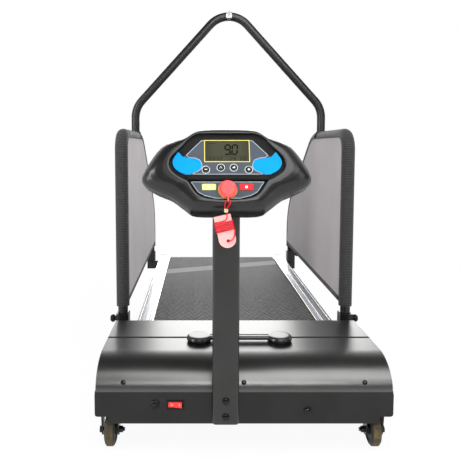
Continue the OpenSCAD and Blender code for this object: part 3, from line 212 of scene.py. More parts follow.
# sRGB parts from 0 to 255, or one grey, as a linear colour
def tone(*parts):
    c = np.array(parts * (3 // len(parts))) / 255
    return (*np.where(c <= 0.04045, c / 12.92, ((c + 0.055) / 1.055) ** 2.4).tolist(), 1.0)


# a method of Field for one kind of Math node; turned puts the other value first
def mathsMethod(operation, turned=False):
    if turned:
        return lambda self, other: self.maths(operation, other, self)
    return lambda self, *other: self.maths(operation, self, *other)


# a socket that takes part in plain expressions; numbers alone stay in Python
class Field:
    def __init__(self, tree, socket):
        self.tree, self.socket = tree, socket

    def feed(self, value, slot):
        if isinstance(value, Field):
            self.tree.links.new(value.socket, slot)
        else:
            slot.default_value = value

    def maths(self, operation, *values):
        n = self.tree.nodes.new("ShaderNodeMath")
        n.operation = operation
        for slot, value in zip(n.inputs, values):
            self.feed(value, slot)
        return Field(self.tree, n.outputs[0])

    __add__, __radd__ = mathsMethod("ADD"), mathsMethod("ADD", True)
    __sub__, __rsub__ = mathsMethod("SUBTRACT"), mathsMethod("SUBTRACT", True)
    __mul__, __rmul__ = mathsMethod("MULTIPLY"), mathsMethod("MULTIPLY", True)
    __truediv__, __pow__, __abs__ = map(mathsMethod, ("DIVIDE", "POWER", "ABSOLUTE"))
    sin, frac = mathsMethod("SINE"), mathsMethod("FRACT")
    below, above = mathsMethod("LESS_THAN"), mathsMethod("GREATER_THAN")
    least, most = mathsMethod("MINIMUM"), mathsMethod("MAXIMUM")

    # from 0 up to 1 and back in one period
    def wave(self, period):
        return self.maths("PINGPONG", self, period / 2) / (period / 2)

    # 0 at low, 1 at high, smooth between; without numbers, over the middle of a noise
    def ease(self, low=0.3, high=0.7):
        n = self.tree.nodes.new("ShaderNodeMapRange")
        n.interpolation_type = "SMOOTHSTEP"
        for slot, value in zip(n.inputs[:5], (self, low, high, 0.0, 1.0)):
            self.feed(value, slot)
        return Field(self.tree, n.outputs[0])


# rounded shading: samples of its normal, and how far that has to face the eye to be used
edgeSet = dict(samples=16, facing=(0.1, 0.35))


# one material: node() makes any node from its type, settings and socket values
class Finish:
    def __init__(self, name):
        self.material = bpy.data.materials.new(name)
        self.material.use_nodes = True
        self.tree = self.material.node_tree
        self.shader = self.tree.nodes["Principled BSDF"]

    def node(self, kind, settings=None, values=None, out=0):
        n = self.tree.nodes.new(kind)
        for key, value in (settings or {}).items():
            setattr(n, key, value)
        for key, value in (values or {}).items():
            Field(self.tree, None).feed(value, n.inputs[key])
        return Field(self.tree, n.outputs[out])

    def place(self, kind="Object"):
        return self.node("ShaderNodeTexCoord", out=kind)

    def geometry(self, kind):
        return self.node("ShaderNodeNewGeometry", out=kind)

    def vector(self, operation, *values, out=0, **named):
        return self.node("ShaderNodeVectorMath", {"operation": operation},
                         {**dict(enumerate(values)), **named}, out)

    def stretched(self, scale, kind="Object"):
        return self.node("ShaderNodeMapping", None, {"Vector": self.place(kind), "Scale": scale})

    def axes(self, kind="Object"):
        parts = self.tree.nodes.new("ShaderNodeSeparateXYZ")
        self.tree.links.new(self.place(kind).socket, parts.inputs[0])
        return [Field(self.tree, s) for s in parts.outputs]

    def noise(self, scale, detail=3.0, rough=0.55, vector=None):
        values = {"Vector": vector or self.place(), "Scale": scale, "Detail": detail, "Roughness": rough}
        return self.node("ShaderNodeTexNoise", None, values)

    def mix(self, factor, a, b):
        return self.node("ShaderNodeMix", {"data_type": "RGBA"}, {0: factor, 6: a, 7: b}, out=2)

    def mixNormals(self, factor, a, b):
        return self.node("ShaderNodeMix", {"data_type": "VECTOR"}, {0: factor, 4: a, 5: b}, out=1)

    # soft is a normal to start from, or None for the mesh's own
    def bump(self, height, distance, strength=1.0, soft=None):
        values = {"Height": height, "Distance": distance, "Strength": strength}
        return self.node("ShaderNodeBump", None, {**values, "Normal": soft} if soft else values)

    # normal rounded over edges and facets within a radius, or where that turns from the eye, the mesh's own
    def softEdges(self, radius):
        rounded = self.node("ShaderNodeBevel", {"samples": edgeSet["samples"]}, {"Radius": radius})
        facing = self.vector("DOT_PRODUCT", rounded, self.geometry("Incoming"), out="Value")
        return self.mixNormals(facing.ease(*edgeSet["facing"]), self.geometry("Normal"), rounded)

    def give(self, **values):
        for key, value in values.items():
            Field(self.tree, None).feed(value, self.shader.inputs[key.replace("_", " ")])
        return self.material


# colour times a scale plus a lift, kept to 1
def shade(colour, scale, lift=0.0):
    return tuple(min(c * scale + lift, 1) for c in colour[:3]) + (1,)


# moulded or painted skin: cloudy colour and roughness, and a fine grain in the normal;
# edge rounds its facets
skinSet = dict(clouds=(14, 4), lift=0.002, vary=0.03, coatRough=0.12)


def skinFinish(name, colour, rough, grain, depth, cloud=0.12, coat=0.0, specular=0.5, edge=0.0, dull=None):
    f, s = Finish(name), skinSet
    clouds, grit = f.noise(*s["clouds"]), f.noise(grain, 2)
    ground = f.mix(clouds.ease(), shade(colour, 1 - cloud), shade(colour, 1 + cloud, s["lift"]))
    skin = rough + s["vary"] * (clouds - 0.5) * 2
    return f.give(Base_Color=ground, Roughness=skin.most(dull(f)) if dull else skin,
                  Normal=f.bump(grit, depth, soft=f.softEdges(edge) if edge else None), Coat_Weight=coat,
                  Coat_Roughness=s["coatRough"], Specular_IOR_Level=specular)


# roughness on the floor of the console's pocket: w = (y0 - y) cos a + (z - z0) sin a is low there,
# and the face looks straight out
pocketSet = dict(depth=-0.006, near=0.0008, straight=0.97, rough=0.95)


def pocketFloor(f):
    s, a = pocketSet, math.radians(consoleFace["lean"])
    _, y0, z0 = placed(consoleFace["at"])
    _, y, z = f.axes()
    w = (y0 - y) * math.cos(a) + (z - z0) * math.sin(a)
    face = f.vector("DOT_PRODUCT", f.geometry("Normal"), (0, -math.cos(a), math.sin(a)), out="Value")
    return abs(w - s["depth"]).below(s["near"]) * face.above(s["straight"]) * s["rough"]


# hood: satin black sheet with the smooth normal of its roll, ((y - y0) / a^2, (z - z0) / h^2),
# and a dull joint across its top, its shade painted near black
hoodSet = dict(middle=((plateY + 85) * mm, 0.134), reach=(0.085, 0.056), near=0.05, agree=0.9,
               joint=(plateY + 160) * mm, half=0.0056, level=0.18, black=tone(4), rough=0.33, vary=0.03,
               grain=(760, 2), depth=3e-6)


def hoodFinish(name, colour):
    f, s = Finish(name), hoodSet
    _, y, z = f.axes()
    sheet = f.geometry("Normal")
    ahead = (y - s["middle"][0]) / s["reach"][0]
    up = (z - s["middle"][1]) / s["reach"][1]
    roll = f.node("ShaderNodeCombineXYZ", None, {1: ahead / s["reach"][0], 2: up / s["reach"][1]})
    roll = f.vector("NORMALIZE", roll)
    agree = f.vector("DOT_PRODUCT", roll, sheet, out="Value")
    onRoll = abs(ahead ** 2.0 + up ** 2.0 - 1).below(s["near"]) * ahead.below(0.0) * agree.above(s["agree"])
    # painted shade: the joint's groove is painted near black, dull and not metallic
    joint = (1 - abs(y - s["joint"]).ease(s["half"] * 0.8, s["half"])) * z.above(s["level"])
    clouds, grit = f.noise(*skinSet["clouds"]), f.noise(*s["grain"])
    skin = f.mix(clouds.ease(), shade(colour, 0.9), colour)
    return f.give(Base_Color=f.mix(joint, skin, s["black"]), Metallic=1 - joint,
                  Roughness=(s["rough"] + s["vary"] * (clouds - 0.5)).most(joint),
                  Normal=f.bump(grit, s["depth"], soft=f.mixNormals(onRoll, sheet, roll)))


# arch tube: ny = (y - y0) / r across it, and the mesh's own direction in the arch's plane,
# shortened to (1 - ny^2)^0.5
archSet = dict(middle=(plateY + 645) * mm, radius=0.0125, clouds=(14, 2), rough=0.36, vary=0.04, specular=0.6)


def archFinish(name, colour):
    f, s = Finish(name), archSet
    _, y, _ = f.axes()
    across = ((y - s["middle"]) / s["radius"]).most(-1.0).least(1.0)
    flat = f.vector("NORMALIZE", f.vector("MULTIPLY", f.geometry("Normal"), (1, 0, 1)))
    flat = f.vector("SCALE", flat, Scale=(1 - across ** 2.0) ** 0.5)
    smooth = f.vector("ADD", flat, f.node("ShaderNodeCombineXYZ", None, {1: across}))
    clouds = f.noise(*s["clouds"])
    return f.give(Base_Color=f.mix(clouds, shade(colour, 0.9), colour), Normal=smooth,
                  Roughness=s["rough"] + s["vary"] * (clouds - 0.5), Specular_IOR_Level=s["specular"])


# drawn or turned metal: scratches along one axis
metalSet = dict(lines=(1, 4, 0.6), marks=0.12, vary=0.12, depth=2e-5)


def metalFinish(name, colour, rough, along):
    f, s = Finish(name), metalSet
    lines = f.noise(*s["lines"], f.stretched(along))
    ground = f.mix(lines.ease(), shade(colour, 1 - s["marks"]), colour)
    return f.give(Base_Color=ground, Metallic=1.0, Roughness=rough + s["vary"] * (lines - 0.5),
                  Normal=f.bump(lines, s["depth"]))


# rubber: dusty patches over a fine grain
rubberSet = dict(dust=(60, 4), grit=(700, 3), patch=(0.45, 0.8), pale=(1.5, 0.006), vary=0.1, depth=0.00012,
                 specular=0.35)


def rubberFinish(name, colour, rough=0.75):
    f, s = Finish(name), rubberSet
    dust, grit = f.noise(*s["dust"]), f.noise(*s["grit"])
    return f.give(Base_Color=f.mix(dust.ease(*s["patch"]), colour, shade(colour, *s["pale"])),
                  Roughness=rough + s["vary"] * (dust - 0.5), Normal=f.bump(grit, s["depth"]),
                  Specular_IOR_Level=s["specular"])


# belt cover: short ribs that lean left and right by turns, their valleys painted near black as shade,
# painted paler to the rear as a sheen, and a smooth splice across it
beltSet = dict(top=0.187, column=0.026, rib=0.0118, slant=0.02, stray=0.007, splice=(-0.190, 0.321),
               lean=0.38, width=0.036, level=0.17, rear=(-0.15, 0.45), wander=(60, 3), wear=(9, 4),
               grit=(500, 3), depth=0.0016, valley=tone(1), crest=tone(98, 98, 97),
               pale=tone(118, 117, 117), smooth=tone(146, 146, 148), specular=0.2)


def beltFinish(name):
    f, s = Finish(name), beltSet
    x, y, z = f.axes()
    wander, wear, grit = (f.noise(*s[kind]) for kind in ("wander", "wear", "grit"))
    along = y + (s["top"] - z) * (2 * y.above(0.0) - 1)
    column = x.wave(2 * s["column"])
    turn = (x / (2 * s["column"])).frac().above(0.5)
    rib = ((along + column * s["slant"] + wander * s["stray"]) / s["rib"] + 0.5 * turn).frac()
    ridge = rib.ease(0.05, 0.35) * (1 - rib.ease(0.55, 0.85))
    across = ((y - s["splice"][1]) - (x - s["splice"][0]) * s["lean"]) / math.hypot(1, s["lean"])
    band = (1 - abs(across).ease(s["width"] * 0.8, s["width"])) * z.above(s["level"])
    # painted shade: the valleys between the ribs are painted near black
    ground = f.mix(ridge * (0.4 + 0.9 * wander), s["valley"], s["crest"])
    # painted sheen: the belt is painted paler to the rear
    ground = f.mix(y.ease(*s["rear"]) * 0.45, ground, s["pale"])
    ground = f.mix(band * 0.8, ground, s["smooth"])
    return f.give(Base_Color=ground, Roughness=0.78 - 0.1 * wear - 0.2 * ridge,
                  Specular_IOR_Level=s["specular"],
                  Normal=f.bump(ridge * (1 - band) + grit * 0.15, s["depth"]))


# foot rail: polished extrusion, painted shade in the grooves between the ridges and along the outer edge,
# and sides darker and rougher
railSet = dict(groove=0.2385, lip=(0.0007, 0.0013), valleys=(0.2105, 0.2155), slope=(0.0008, 0.0018),
               top=0.180, sides=0.1805, lines=(1, 4, 0.6), along=(500, 4, 500), depth=1.5e-5,
               dull=tone(206, 208, 211), bright=tone(236, 237, 239), dark=tone(46, 47, 50))


def railFinish(name):
    f, s = Finish(name), railSet
    x, _, z = f.axes()
    side = abs(x)
    lines = f.noise(*s["lines"], f.stretched(s["along"]))
    groove = 1 - abs(side - s["groove"]).ease(*s["lip"])
    inner, outer = (1 - abs(side - at).ease(*s["slope"]) for at in s["valleys"])
    # painted shade darkens the grooves and valleys; the sides below the top are also darker and rougher
    dark = (groove.most(inner.most(outer) * 0.7) * z.above(s["top"])).most(z.below(s["sides"]) * 0.35)
    shine = f.mix(lines.ease(0.25, 0.75), s["dull"], s["bright"])
    return f.give(Base_Color=f.mix(dark, shine, s["dark"]), Metallic=1 - dark * 0.4,
                  Roughness=0.24 + 0.14 * (lines - 0.5) + 0.2 * dark, Normal=f.bump(lines, s["depth"]))


# deck board: pressed wood with fibres drawn out across it
woodSet = dict(fibres=(1, 5, 0.65), along=(30, 300, 300), low=tone(112, 84, 54), high=tone(158, 126, 86),
               rough=0.7, depth=0.0001)


def woodFinish(name):
    f, s = Finish(name), woodSet
    fibres = f.noise(*s["fibres"], f.stretched(s["along"]))
    return f.give(Base_Color=f.mix(fibres.ease(), s["low"], s["high"]), Roughness=s["rough"],
                  Normal=f.bump(fibres, s["depth"]))


# lit display: olive liquid crystal under a clear sheet, a little darker to its edges
lcdSet = dict(middle=consoleFace["at"][0] * mm, edge=(0.02, 0.043), film=(420, 2), olive=tone(60, 60, 46),
              deep=tone(42, 42, 32), glow=0.15, specular=0.05)


def lcdFinish(name):
    f, s = Finish(name), lcdSet
    x, _, _ = f.axes()
    edge, film = abs(x - s["middle"]).ease(*s["edge"]), f.noise(*s["film"])
    colour = f.mix(edge * 0.5 + film * 0.12, s["olive"], s["deep"])
    return f.give(Base_Color=colour, Roughness=0.3 + 0.05 * film, Emission_Color=colour,
                  Emission_Strength=s["glow"], Specular_IOR_Level=s["specular"])


# red rocker with light behind it: marks of a bar and a ring, each set off from its middle
rockerSet = dict(at=(-0.137, 0.108), off=0.0075, bar=(0.0006, 0.0024), ring=(0.0021, 0.0005), cloud=(180, 2),
                 low=tone(212, 18, 20), high=tone(240, 40, 34), mark=tone(252, 150, 138), glow=0.28, coat=0.4,
                 coatRough=0.08)


def rockerFinish(name):
    f, s = Finish(name), rockerSet
    x, _, z = f.axes()
    u, v = x - s["at"][0], z - s["at"][1]
    bar = abs(u - s["off"]).below(s["bar"][0]) * abs(v).below(s["bar"][1])
    away = ((u + s["off"]) ** 2.0 + v ** 2.0) ** 0.5
    ring = abs(away - s["ring"][0]).below(s["ring"][1])
    cloud = f.noise(*s["cloud"])
    colour = f.mix(cloud.ease(), s["low"], s["high"])
    colour = f.mix(bar.most(ring), colour, s["mark"])
    return f.give(Base_Color=colour, Roughness=0.24 + 0.05 * cloud, Emission_Color=colour,
                  Emission_Strength=s["glow"], Coat_Weight=s["coat"], Coat_Roughness=s["coatRough"])


# caster tread: brown rubber band between black sides, with dust in its grain
tyreSet = dict(track=0.274, tread=(0.0070, 0.0085), axle=((plateY + 47) * mm, 0.033), rim=0.0265,
               dust=(90, 4), grit=(900, 3), black=tone(20), low=tone(58, 46, 22), high=tone(96, 80, 46),
               depth=0.0001)


def tyreFinish(name):
    f, s = Finish(name), tyreSet
    x, y, z = f.axes()
    away = ((y - s["axle"][0]) ** 2.0 + (z - s["axle"][1]) ** 2.0) ** 0.5
    tread = (1 - abs(abs(x) - s["track"]).ease(*s["tread"])) * away.above(s["rim"])
    dust, grit = f.noise(*s["dust"]), f.noise(*s["grit"])
    brown = f.mix(dust.ease(0.35, 0.75), s["low"], s["high"])
    return f.give(Base_Color=f.mix(tread, s["black"], brown), Roughness=0.5 + 0.25 * dust,
                  Normal=f.bump(grit, s["depth"]))


# knit of the panels: fine loops in rows with painted shade in the gaps between them,
# and broad soft streaks painted lighter and darker over the cloth as the shade of its tension waves
clothSet = dict(pitch=0.0016, waveShade=(1, 2, 0.5), stretch=(6, 5, 1), lint=(320, 3), low=tone(169, 163, 166),
                high=tone(175, 169, 172), gaps=tone(132, 127, 130), sheen=(0.25, 0.4), depth=3e-5,
                specular=0.2)


def clothFinish(name):
    f, s = Finish(name), clothSet
    u, v, _ = f.axes("UV")
    loops = (u / s["pitch"] * 2 * math.pi).sin() * (v / s["pitch"] * 2 * math.pi).sin()
    waveShade = f.noise(*s["waveShade"], f.stretched(s["stretch"], kind="UV"))
    lint = f.noise(*s["lint"])
    # painted shade: broad lighter and darker streaks for the shade of the cloth's tension waves
    colour = f.mix(waveShade.ease(), s["low"], s["high"])
    # painted shade in the gaps between the loops; lint specks darker too
    colour = f.mix(loops.ease(-0.2, 1.0) * 0.05 + lint.ease(0.5, 0.8) * 0.05, colour, s["gaps"])
    return f.give(Base_Color=colour, Roughness=0.82 + 0.1 * (lint - 0.5), Sheen_Weight=s["sheen"][0],
                  Sheen_Roughness=s["sheen"][1], Normal=f.bump(loops * 0.5 + lint * 0.4, s["depth"]),
                  Specular_IOR_Level=s["specular"])


# ribbed mesh of the edge band: ribs across the band with small open cells between them;
# crests painted lighter as light, valleys darker and cells near black as shade
bandSet = dict(rib=0.0042, cell=0.0024, lint=(300, 3), valley=tone(20, 20, 21), crest=tone(52, 52, 53),
               gaps=tone(8, 8, 9), fluff=tone(84, 83, 84), sheen=(0.15, 0.45), depth=0.0009, strength=0.8)


def bandFinish(name):
    f, s = Finish(name), bandSet
    u, v, _ = f.axes("UV")
    rib = (v / s["rib"]).frac()
    crest = rib.ease(0.0, 0.3) * (1 - rib.ease(0.45, 0.8))
    cells = (u / s["cell"] * 2 * math.pi).sin().ease(0.2, 0.9) * (1 - crest)
    lint = f.noise(*s["lint"])
    # painted light and shade: crests lighter, valleys darker, open cells near black
    colour = f.mix(crest, s["valley"], s["crest"])
    colour = f.mix(cells * 0.8, colour, s["gaps"])
    colour = f.mix(lint.ease(0.55, 0.8) * 0.25, colour, s["fluff"])
    return f.give(Base_Color=colour, Roughness=0.7 + 0.15 * (lint - 0.5), Sheen_Weight=s["sheen"][0],
                  Sheen_Roughness=s["sheen"][1],
                  Normal=f.bump(crest - cells * 0.5 + lint * 0.15, s["depth"], s["strength"]))


# braided cord: two sets of strands that cross round it, the strands painted lighter and the gaps
# between them darker as light and shade
cordSet = dict(strands=6, lay=0.0065, lint=(900, 2), depth=0.0002, specular=0.25)


def cordFinish(name, low, high):
    f, s = Finish(name), cordSet
    u, v, _ = f.axes("UV")
    around, along = u * s["strands"], v / s["lay"] * s["strands"]
    weave = abs(((around + along) * math.pi).sin()).most(abs(((around - along) * math.pi).sin()))
    lint = f.noise(*s["lint"])
    # painted light and shade: strands lighter, the gaps between them darker
    return f.give(Base_Color=f.mix(weave.ease(0.3, 1.0), low, high), Roughness=0.6 + 0.2 * (lint - 0.5),
                  Normal=f.bump(weave + 0.2 * lint, s["depth"]), Specular_IOR_Level=s["specular"])


finishes = {
    "black_paint": skinFinish("satin black tube paint", tone(20), 0.26, 500, 6e-6, coat=0.2, specular=0.25),
    "charcoal_paint": skinFinish("charcoal tube paint", tone(24, 24, 23), 0.26, 620, 2e-6, specular=0.4),
    "hood_black": hoodFinish("hood satin black", tone(104, 104, 103)),
    "black_plastic": skinFinish("black moulded plastic", tone(17), 0.36, 900, 1e-5, specular=0.25),
    "console_black": skinFinish("console satin black", tone(17), 0.28, 1100, 3e-6, specular=0.55, edge=0.006,
                                dull=pocketFloor),
    "slate_panel": skinFinish("slate face sheet", tone(70, 78, 86), 0.4, 1300, 3e-6, cloud=0.05,
                              specular=0.08),
    "blue_pad": skinFinish("blue face sheet", tone(0, 142, 212), 0.4, 1300, 3e-6, cloud=0.02, specular=0.05),
    "lcd": lcdFinish("olive display"),
    "start_green": skinFinish("pale green key", tone(196, 208, 128), 0.38, 900, 4e-6, cloud=0.04,
                              specular=0.2),
    "red_plastic": rockerFinish("lit red rocker"),
    "key_red": skinFinish("coral key plastic", tone(240, 70, 72), 0.3, 800, 6e-6, cloud=0.05, coat=0.2,
                          specular=0.3),
    "ring_yellow": skinFinish("yellow ring plastic", tone(226, 190, 30), 0.4, 900, 6e-6, cloud=0.05,
                              specular=0.3),
    "tag_pink": skinFinish("pink tag plastic", tone(250, 168, 164), 0.34, 800, 6e-6, cloud=0.04, coat=0.15,
                           specular=0.3),
    "red_cord": cordFinish("red braid", tone(150, 4, 20), tone(226, 16, 44)),
    "crimp_beige": skinFinish("beige crimp", tone(200, 180, 138), 0.5, 900, 8e-6),
    "panel_fabric": clothFinish("warm grey knit"),
    "belt_grey": beltFinish("ribbed running belt"),
    "drive_rubber": rubberFinish("drive belt rubber", tone(28), 0.7),
    "foot_rubber": rubberFinish("foot rubber", tone(26)),
    "tyre_rubber": tyreFinish("caster tyre"),
    "rail_aluminium": railFinish("polished rail"),
    "roller_steel": metalFinish("turned roller steel", tone(150, 152, 155), 0.34, (4, 500, 500)),
    "bolt_steel": metalFinish("plated bolt steel", tone(176, 178, 182), 0.28, (200, 200, 200)),
    "bolt_black": skinFinish("blackened bolt", tone(6), 0.1, 900, 2e-6, specular=0.35),
    "eye_chrome": metalFinish("bright bush", tone(190, 192, 194), 0.2, (200, 60, 200)),
    "deck_wood": woodFinish("pressed deck board"),
    "motor_grey": skinFinish("motor grey paint", tone(92, 94, 97), 0.45, 500, 2e-5),
    "box_grey": skinFinish("controller box grey", tone(120, 122, 124), 0.5, 500, 2e-5),
}
stopRed = skinFinish("stop key red", tone(222, 16, 28), 0.36, 900, 4e-6, cloud=0.04, specular=0.2)
archBlack = archFinish("charcoal arch paint", tone(9, 9, 8))
mastBlack = skinFinish("charcoal mast paint", tone(24, 24, 23), 0.24, 620, 2e-6, specular=0.6, edge=0.008)
browBlack = skinFinish("dull ridge black", tone(16), 0.6, 900, 4e-6, specular=0.15)
gripBlack = skinFinish("smooth grip black", tone(14), 0.3, 900, 3e-6, specular=0.7, edge=0.0025)
bandBlack = bandFinish("black ribbed mesh")
trimBlack = skinFinish("black seam welt", tone(22), 0.7, 1500, 0.0001)
markWhite = skinFinish("white face print", tone(232, 234, 236), 0.45, 1500, 1e-5, cloud=0.02)
borderPale = skinFinish("pale border print", tone(176, 184, 190), 0.42, 1500, 1e-5, cloud=0.03)
frameYellow = skinFinish("yellow border print", tone(206, 190, 74), 0.42, 1500, 1e-5, cloud=0.03)
digitDark = skinFinish("display segments", tone(14, 14, 11), 0.5, 1500, 3e-6, cloud=0.03, specular=0.02)


# gives a piece its one material and the body it rides on
def dress(piece, material, body):
    piece.data.materials.clear()
    piece.data.materials.append(material)
    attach(piece, body)
    return piece


slotOf = {s["node"]: s["material_slot"] for s in frame["record"]["subparts"]}
special = {"button_stop": stopRed, "carry_grip": gripBlack, "mast": mastBlack, "arch_bar": archBlack,
           "console_brow": browBlack, "wheel_bolts": finishes["bolt_black"],
           "bracket_bolts": finishes["bolt_black"]}
for node, obj in frame["nodes"].items():
    material = special.get(node, finishes[slotOf[node]])
    obj.data.materials.clear()
    obj.data.materials.append(material)
print("finishes on", len(slotOf), "nodes")


# lanyard: the loop through the key's lug, the turns on the tag, and the knot behind it

lanyard = dict(
    thick=2.0,
    loop=[(-43.6, -91, 512), (-43.9, -91, 514.5), (-44, -90.8, 517), (-43.8, -90.2, 520), (-43, -89.2, 523),
          (-41.6, -88.3, 525.6), (-39.6, -87.6, 527.3), (-38, -87.5, 527.6), (-36.4, -87.6, 527.3),
          (-34.6, -88.4, 525.4), (-34.2, -89.4, 522.8), (-35.4, -90.3, 520), (-37.6, -90.9, 517),
          (-39.4, -91, 514.5), (-40, -91, 512)],
    lead=[(8.8, 48, 0), (8.8, 46, 0.4), (8.8, 43.6, 2.6), (8.6, 41, 3.8), (8.1, 38.8, 3.8), (7.2, 36.8, 3.8),
          (5.4, 35, 3.8), (2.8, 33.6, 3.8)],
    tail=[(16.5, 11.6, 1.9), (15.6, 9.2, 3.4), (14.6, 6, 4), (13.2, 2.6, 4), (11, -0.6, 4), (8.2, -2.6, 4.2),
          (5.2, -3.3, 4.4), (3, -3.3, 3.9), (1.6, -3.25, 2.7), (0.9, -3.2, 1.2), (0.8, -3.2, -0.4),
          (0.8, -3.2, -2.2)],
    tag=(-39.5, -91, 457.9), lean=13, flat=13, reach=3.8, low=13, pitch=2.9, turns=7, rings=24, last=162,
    slack=0.16, waves=(0.61, 0.173), knot=(0.8, -3.2, -4.4), sides=10, loopStep=0.5, woundStep=0.6)


# across, along and out of the tag to row metres
def onTag(p):
    p, a = np.asarray(p, float), math.radians(lanyard["lean"])
    x, y, z = lanyard["tag"]
    return placed(np.stack([x + p[..., 0] * math.cos(a) - p[..., 1] * math.sin(a), y - p[..., 2],
                            z + p[..., 0] * math.sin(a) + p[..., 1] * math.cos(a)], -1))


# turns of cord: flat runs over the tag's faces and half circles round its edges, sinking by one pitch a turn;
# of a turn's 24 steps 4 lie on the front, 8 go round the left edge, 4 lie on the back, 8 go round the right
def tagTurns(k):
    s, flat, r = lanyard, lanyard["flat"], lanyard["reach"]
    j = (k + 2) % s["rings"]
    left, right = np.radians(90 + 22.5 * (j - 4)), np.radians(270 + 22.5 * (j - 16))
    parts = [j < 4, j < 12, j < 16]
    u = np.select(parts, [flat - flat * j / 2, -flat + r * np.cos(left), -flat + flat * (j - 12) / 2],
                  flat + r * np.cos(right))
    w = np.select(parts, [r + 0 * j, r * np.sin(left), -r + 0 * j], r * np.sin(right))
    up = s["low"] + s["pitch"] * (s["turns"] - k / s["rings"])
    up = up + s["slack"] * np.sin(k * s["waves"][0]) * np.sin(k * s["waves"][1])
    return np.stack([u, up, w], -1)


# a length of the red cord, on the key
def keyCord(name, line, start, radius=lanyard["thick"] / 2, sides=lanyard["sides"], closed=False):
    piece = tubePiece(name, line, radius * mm, sides, start, closed)
    return dress(piece, finishes["red_cord"], "safety_key")


loopLine = evenLine(smoothLine(placed(lanyard["loop"]), 8), lanyard["loopStep"] * mm)
loopCord = keyCord("lanyardLoop", loopLine, (0, -1, 0))
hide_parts("lanyard_cord")

turnLine = tagTurns(np.arange(0, lanyard["last"] + 0.01, 0.5))
woundLine = onTag(np.vstack([smoothLine(lanyard["lead"], 6)[:-1], turnLine, smoothLine(lanyard["tail"], 6)]))
woundLine = evenLine(woundLine, lanyard["woundStep"] * mm)
woundCord = keyCord("lanyardWinding", woundLine, (1, 0, 0))
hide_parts("lanyard_winding")

# stopper knot: a flattened trefoil, (sin t + 2 sin 2t, cos t - 2 cos 2t, -1.6 sin 3t)
knotSet = dict(points=72, size=0.72, flat=0.62, radius=0.85, sides=8)
t = angles(knotSet["points"])
trefoil = np.stack([np.sin(t) + 2 * np.sin(2 * t), np.cos(t) - 2 * np.cos(2 * t), -1.6 * np.sin(3 * t)], -1)
trefoil = trefoil * knotSet["size"] * [1, 1, knotSet["flat"]]
knotPiece = keyCord("lanyardKnot", onTag(np.array(lanyard["knot"]) + trefoil), (0, 1, 0), knotSet["radius"],
                    knotSet["sides"], closed=True)

print("lanyard: loop %.3f m, winding %.3f m" % (runLength(loopLine)[-1], runLength(woundLine)[-1]))


# side panels: stretched knit faces in a ribbed mesh band that goes round the bent tube

panel = dict(post=285, front=324, rear=1178, low=232.5, top=652.5, corner=40, slopeY=662, slopeR=180,
             slopeA=31, half=15.5, hem=5.0, sag=2.0, thick=0.8, socketY=645, socketGap=13.9, lowGap=13.2,
             foot=217)


# the tube's middle line from the front post's foot over the top to the rear post's foot, with outward normals
def panelRun(low):
    s, a = panel, math.radians(panel["slopeA"])
    slope = (s["rear"] - s["slopeY"] - s["slopeR"]) / math.cos(a)
    drop = s["slopeR"] + slope * math.sin(a)

    def straight(p, q, n, count):
        k = np.linspace(0, 1, count)[:, None]
        return np.array(p) * (1 - k) + np.array(q) * k, np.tile(n, (count, 1))

    def bend(middle, r, a0, a1, count):
        g = np.radians(np.linspace(a0, a1, count))
        n = np.stack([np.cos(g), np.sin(g)], -1)
        return np.array(middle) + r * n, n

    first = (s["front"] + s["corner"], s["top"] - s["corner"])
    second = (s["slopeY"], s["top"] - s["slopeR"])
    third = (s["rear"] - s["slopeR"], s["top"] - drop)
    tilt = np.array([math.sin(a), math.cos(a)])
    runs = [straight((s["front"], low), (s["front"], first[1]), (-1, 0), 60),
            bend(first, s["corner"], 180, 90, 17),
            straight((first[0], s["top"]), (s["slopeY"], s["top"]), (0, 1), 44),
            bend(second, s["slopeR"], 90, 90 - s["slopeA"], 17),
            straight(np.array(second) + s["slopeR"] * tilt, np.array(third) + s["slopeR"] * tilt, tilt, 30),
            bend(third, s["slopeR"], 90 - s["slopeA"], 0, 30),
            straight((s["rear"], third[1]), (s["rear"], low), (1, 0), 18)]
    return [np.vstack([runs[0][k], *[r[k][1:] for r in runs[1:]]]) for k in range(2)]


# closed outline of the cloth at a distance inside the tube's middle line
def panelOutline(inside):
    line, normal = panelRun(panel["low"] + inside)
    line = line - inside * normal
    low = np.linspace(line[-1], line[0], 60)[1:-1]
    return np.vstack([line, low])


# panel points: (y, z) on the panel and a distance out of its middle plane, on the side given by sign
def onPanel(yz, out, sign):
    out = np.broadcast_to(out, yz.shape[:-1])
    return placed(np.stack([sign * (panel["post"] + out), yz[..., 0], yz[..., 1]], -1))


# gives a cloth piece its thickness, inwards from its face
def thicken(piece):
    wall = piece.modifiers.new("cloth", "SOLIDIFY")
    wall.thickness, wall.offset = panel["thick"] * mm, -1


# stretched face: rings shrink from the outline to a pole, sink by sag (1 - (1 - t)^2),
# and ripple where the seam pulls
clothFace = dict(tuck=1.2, inset=0.5, pole=(735.0, 430.0), rings=40, crowd=1.15, ripple=0.315, wave=15.0,
                 reach=(0.012, 0.05), fold=0.45, folds=(38.0, 90.0), foldReach=0.1)


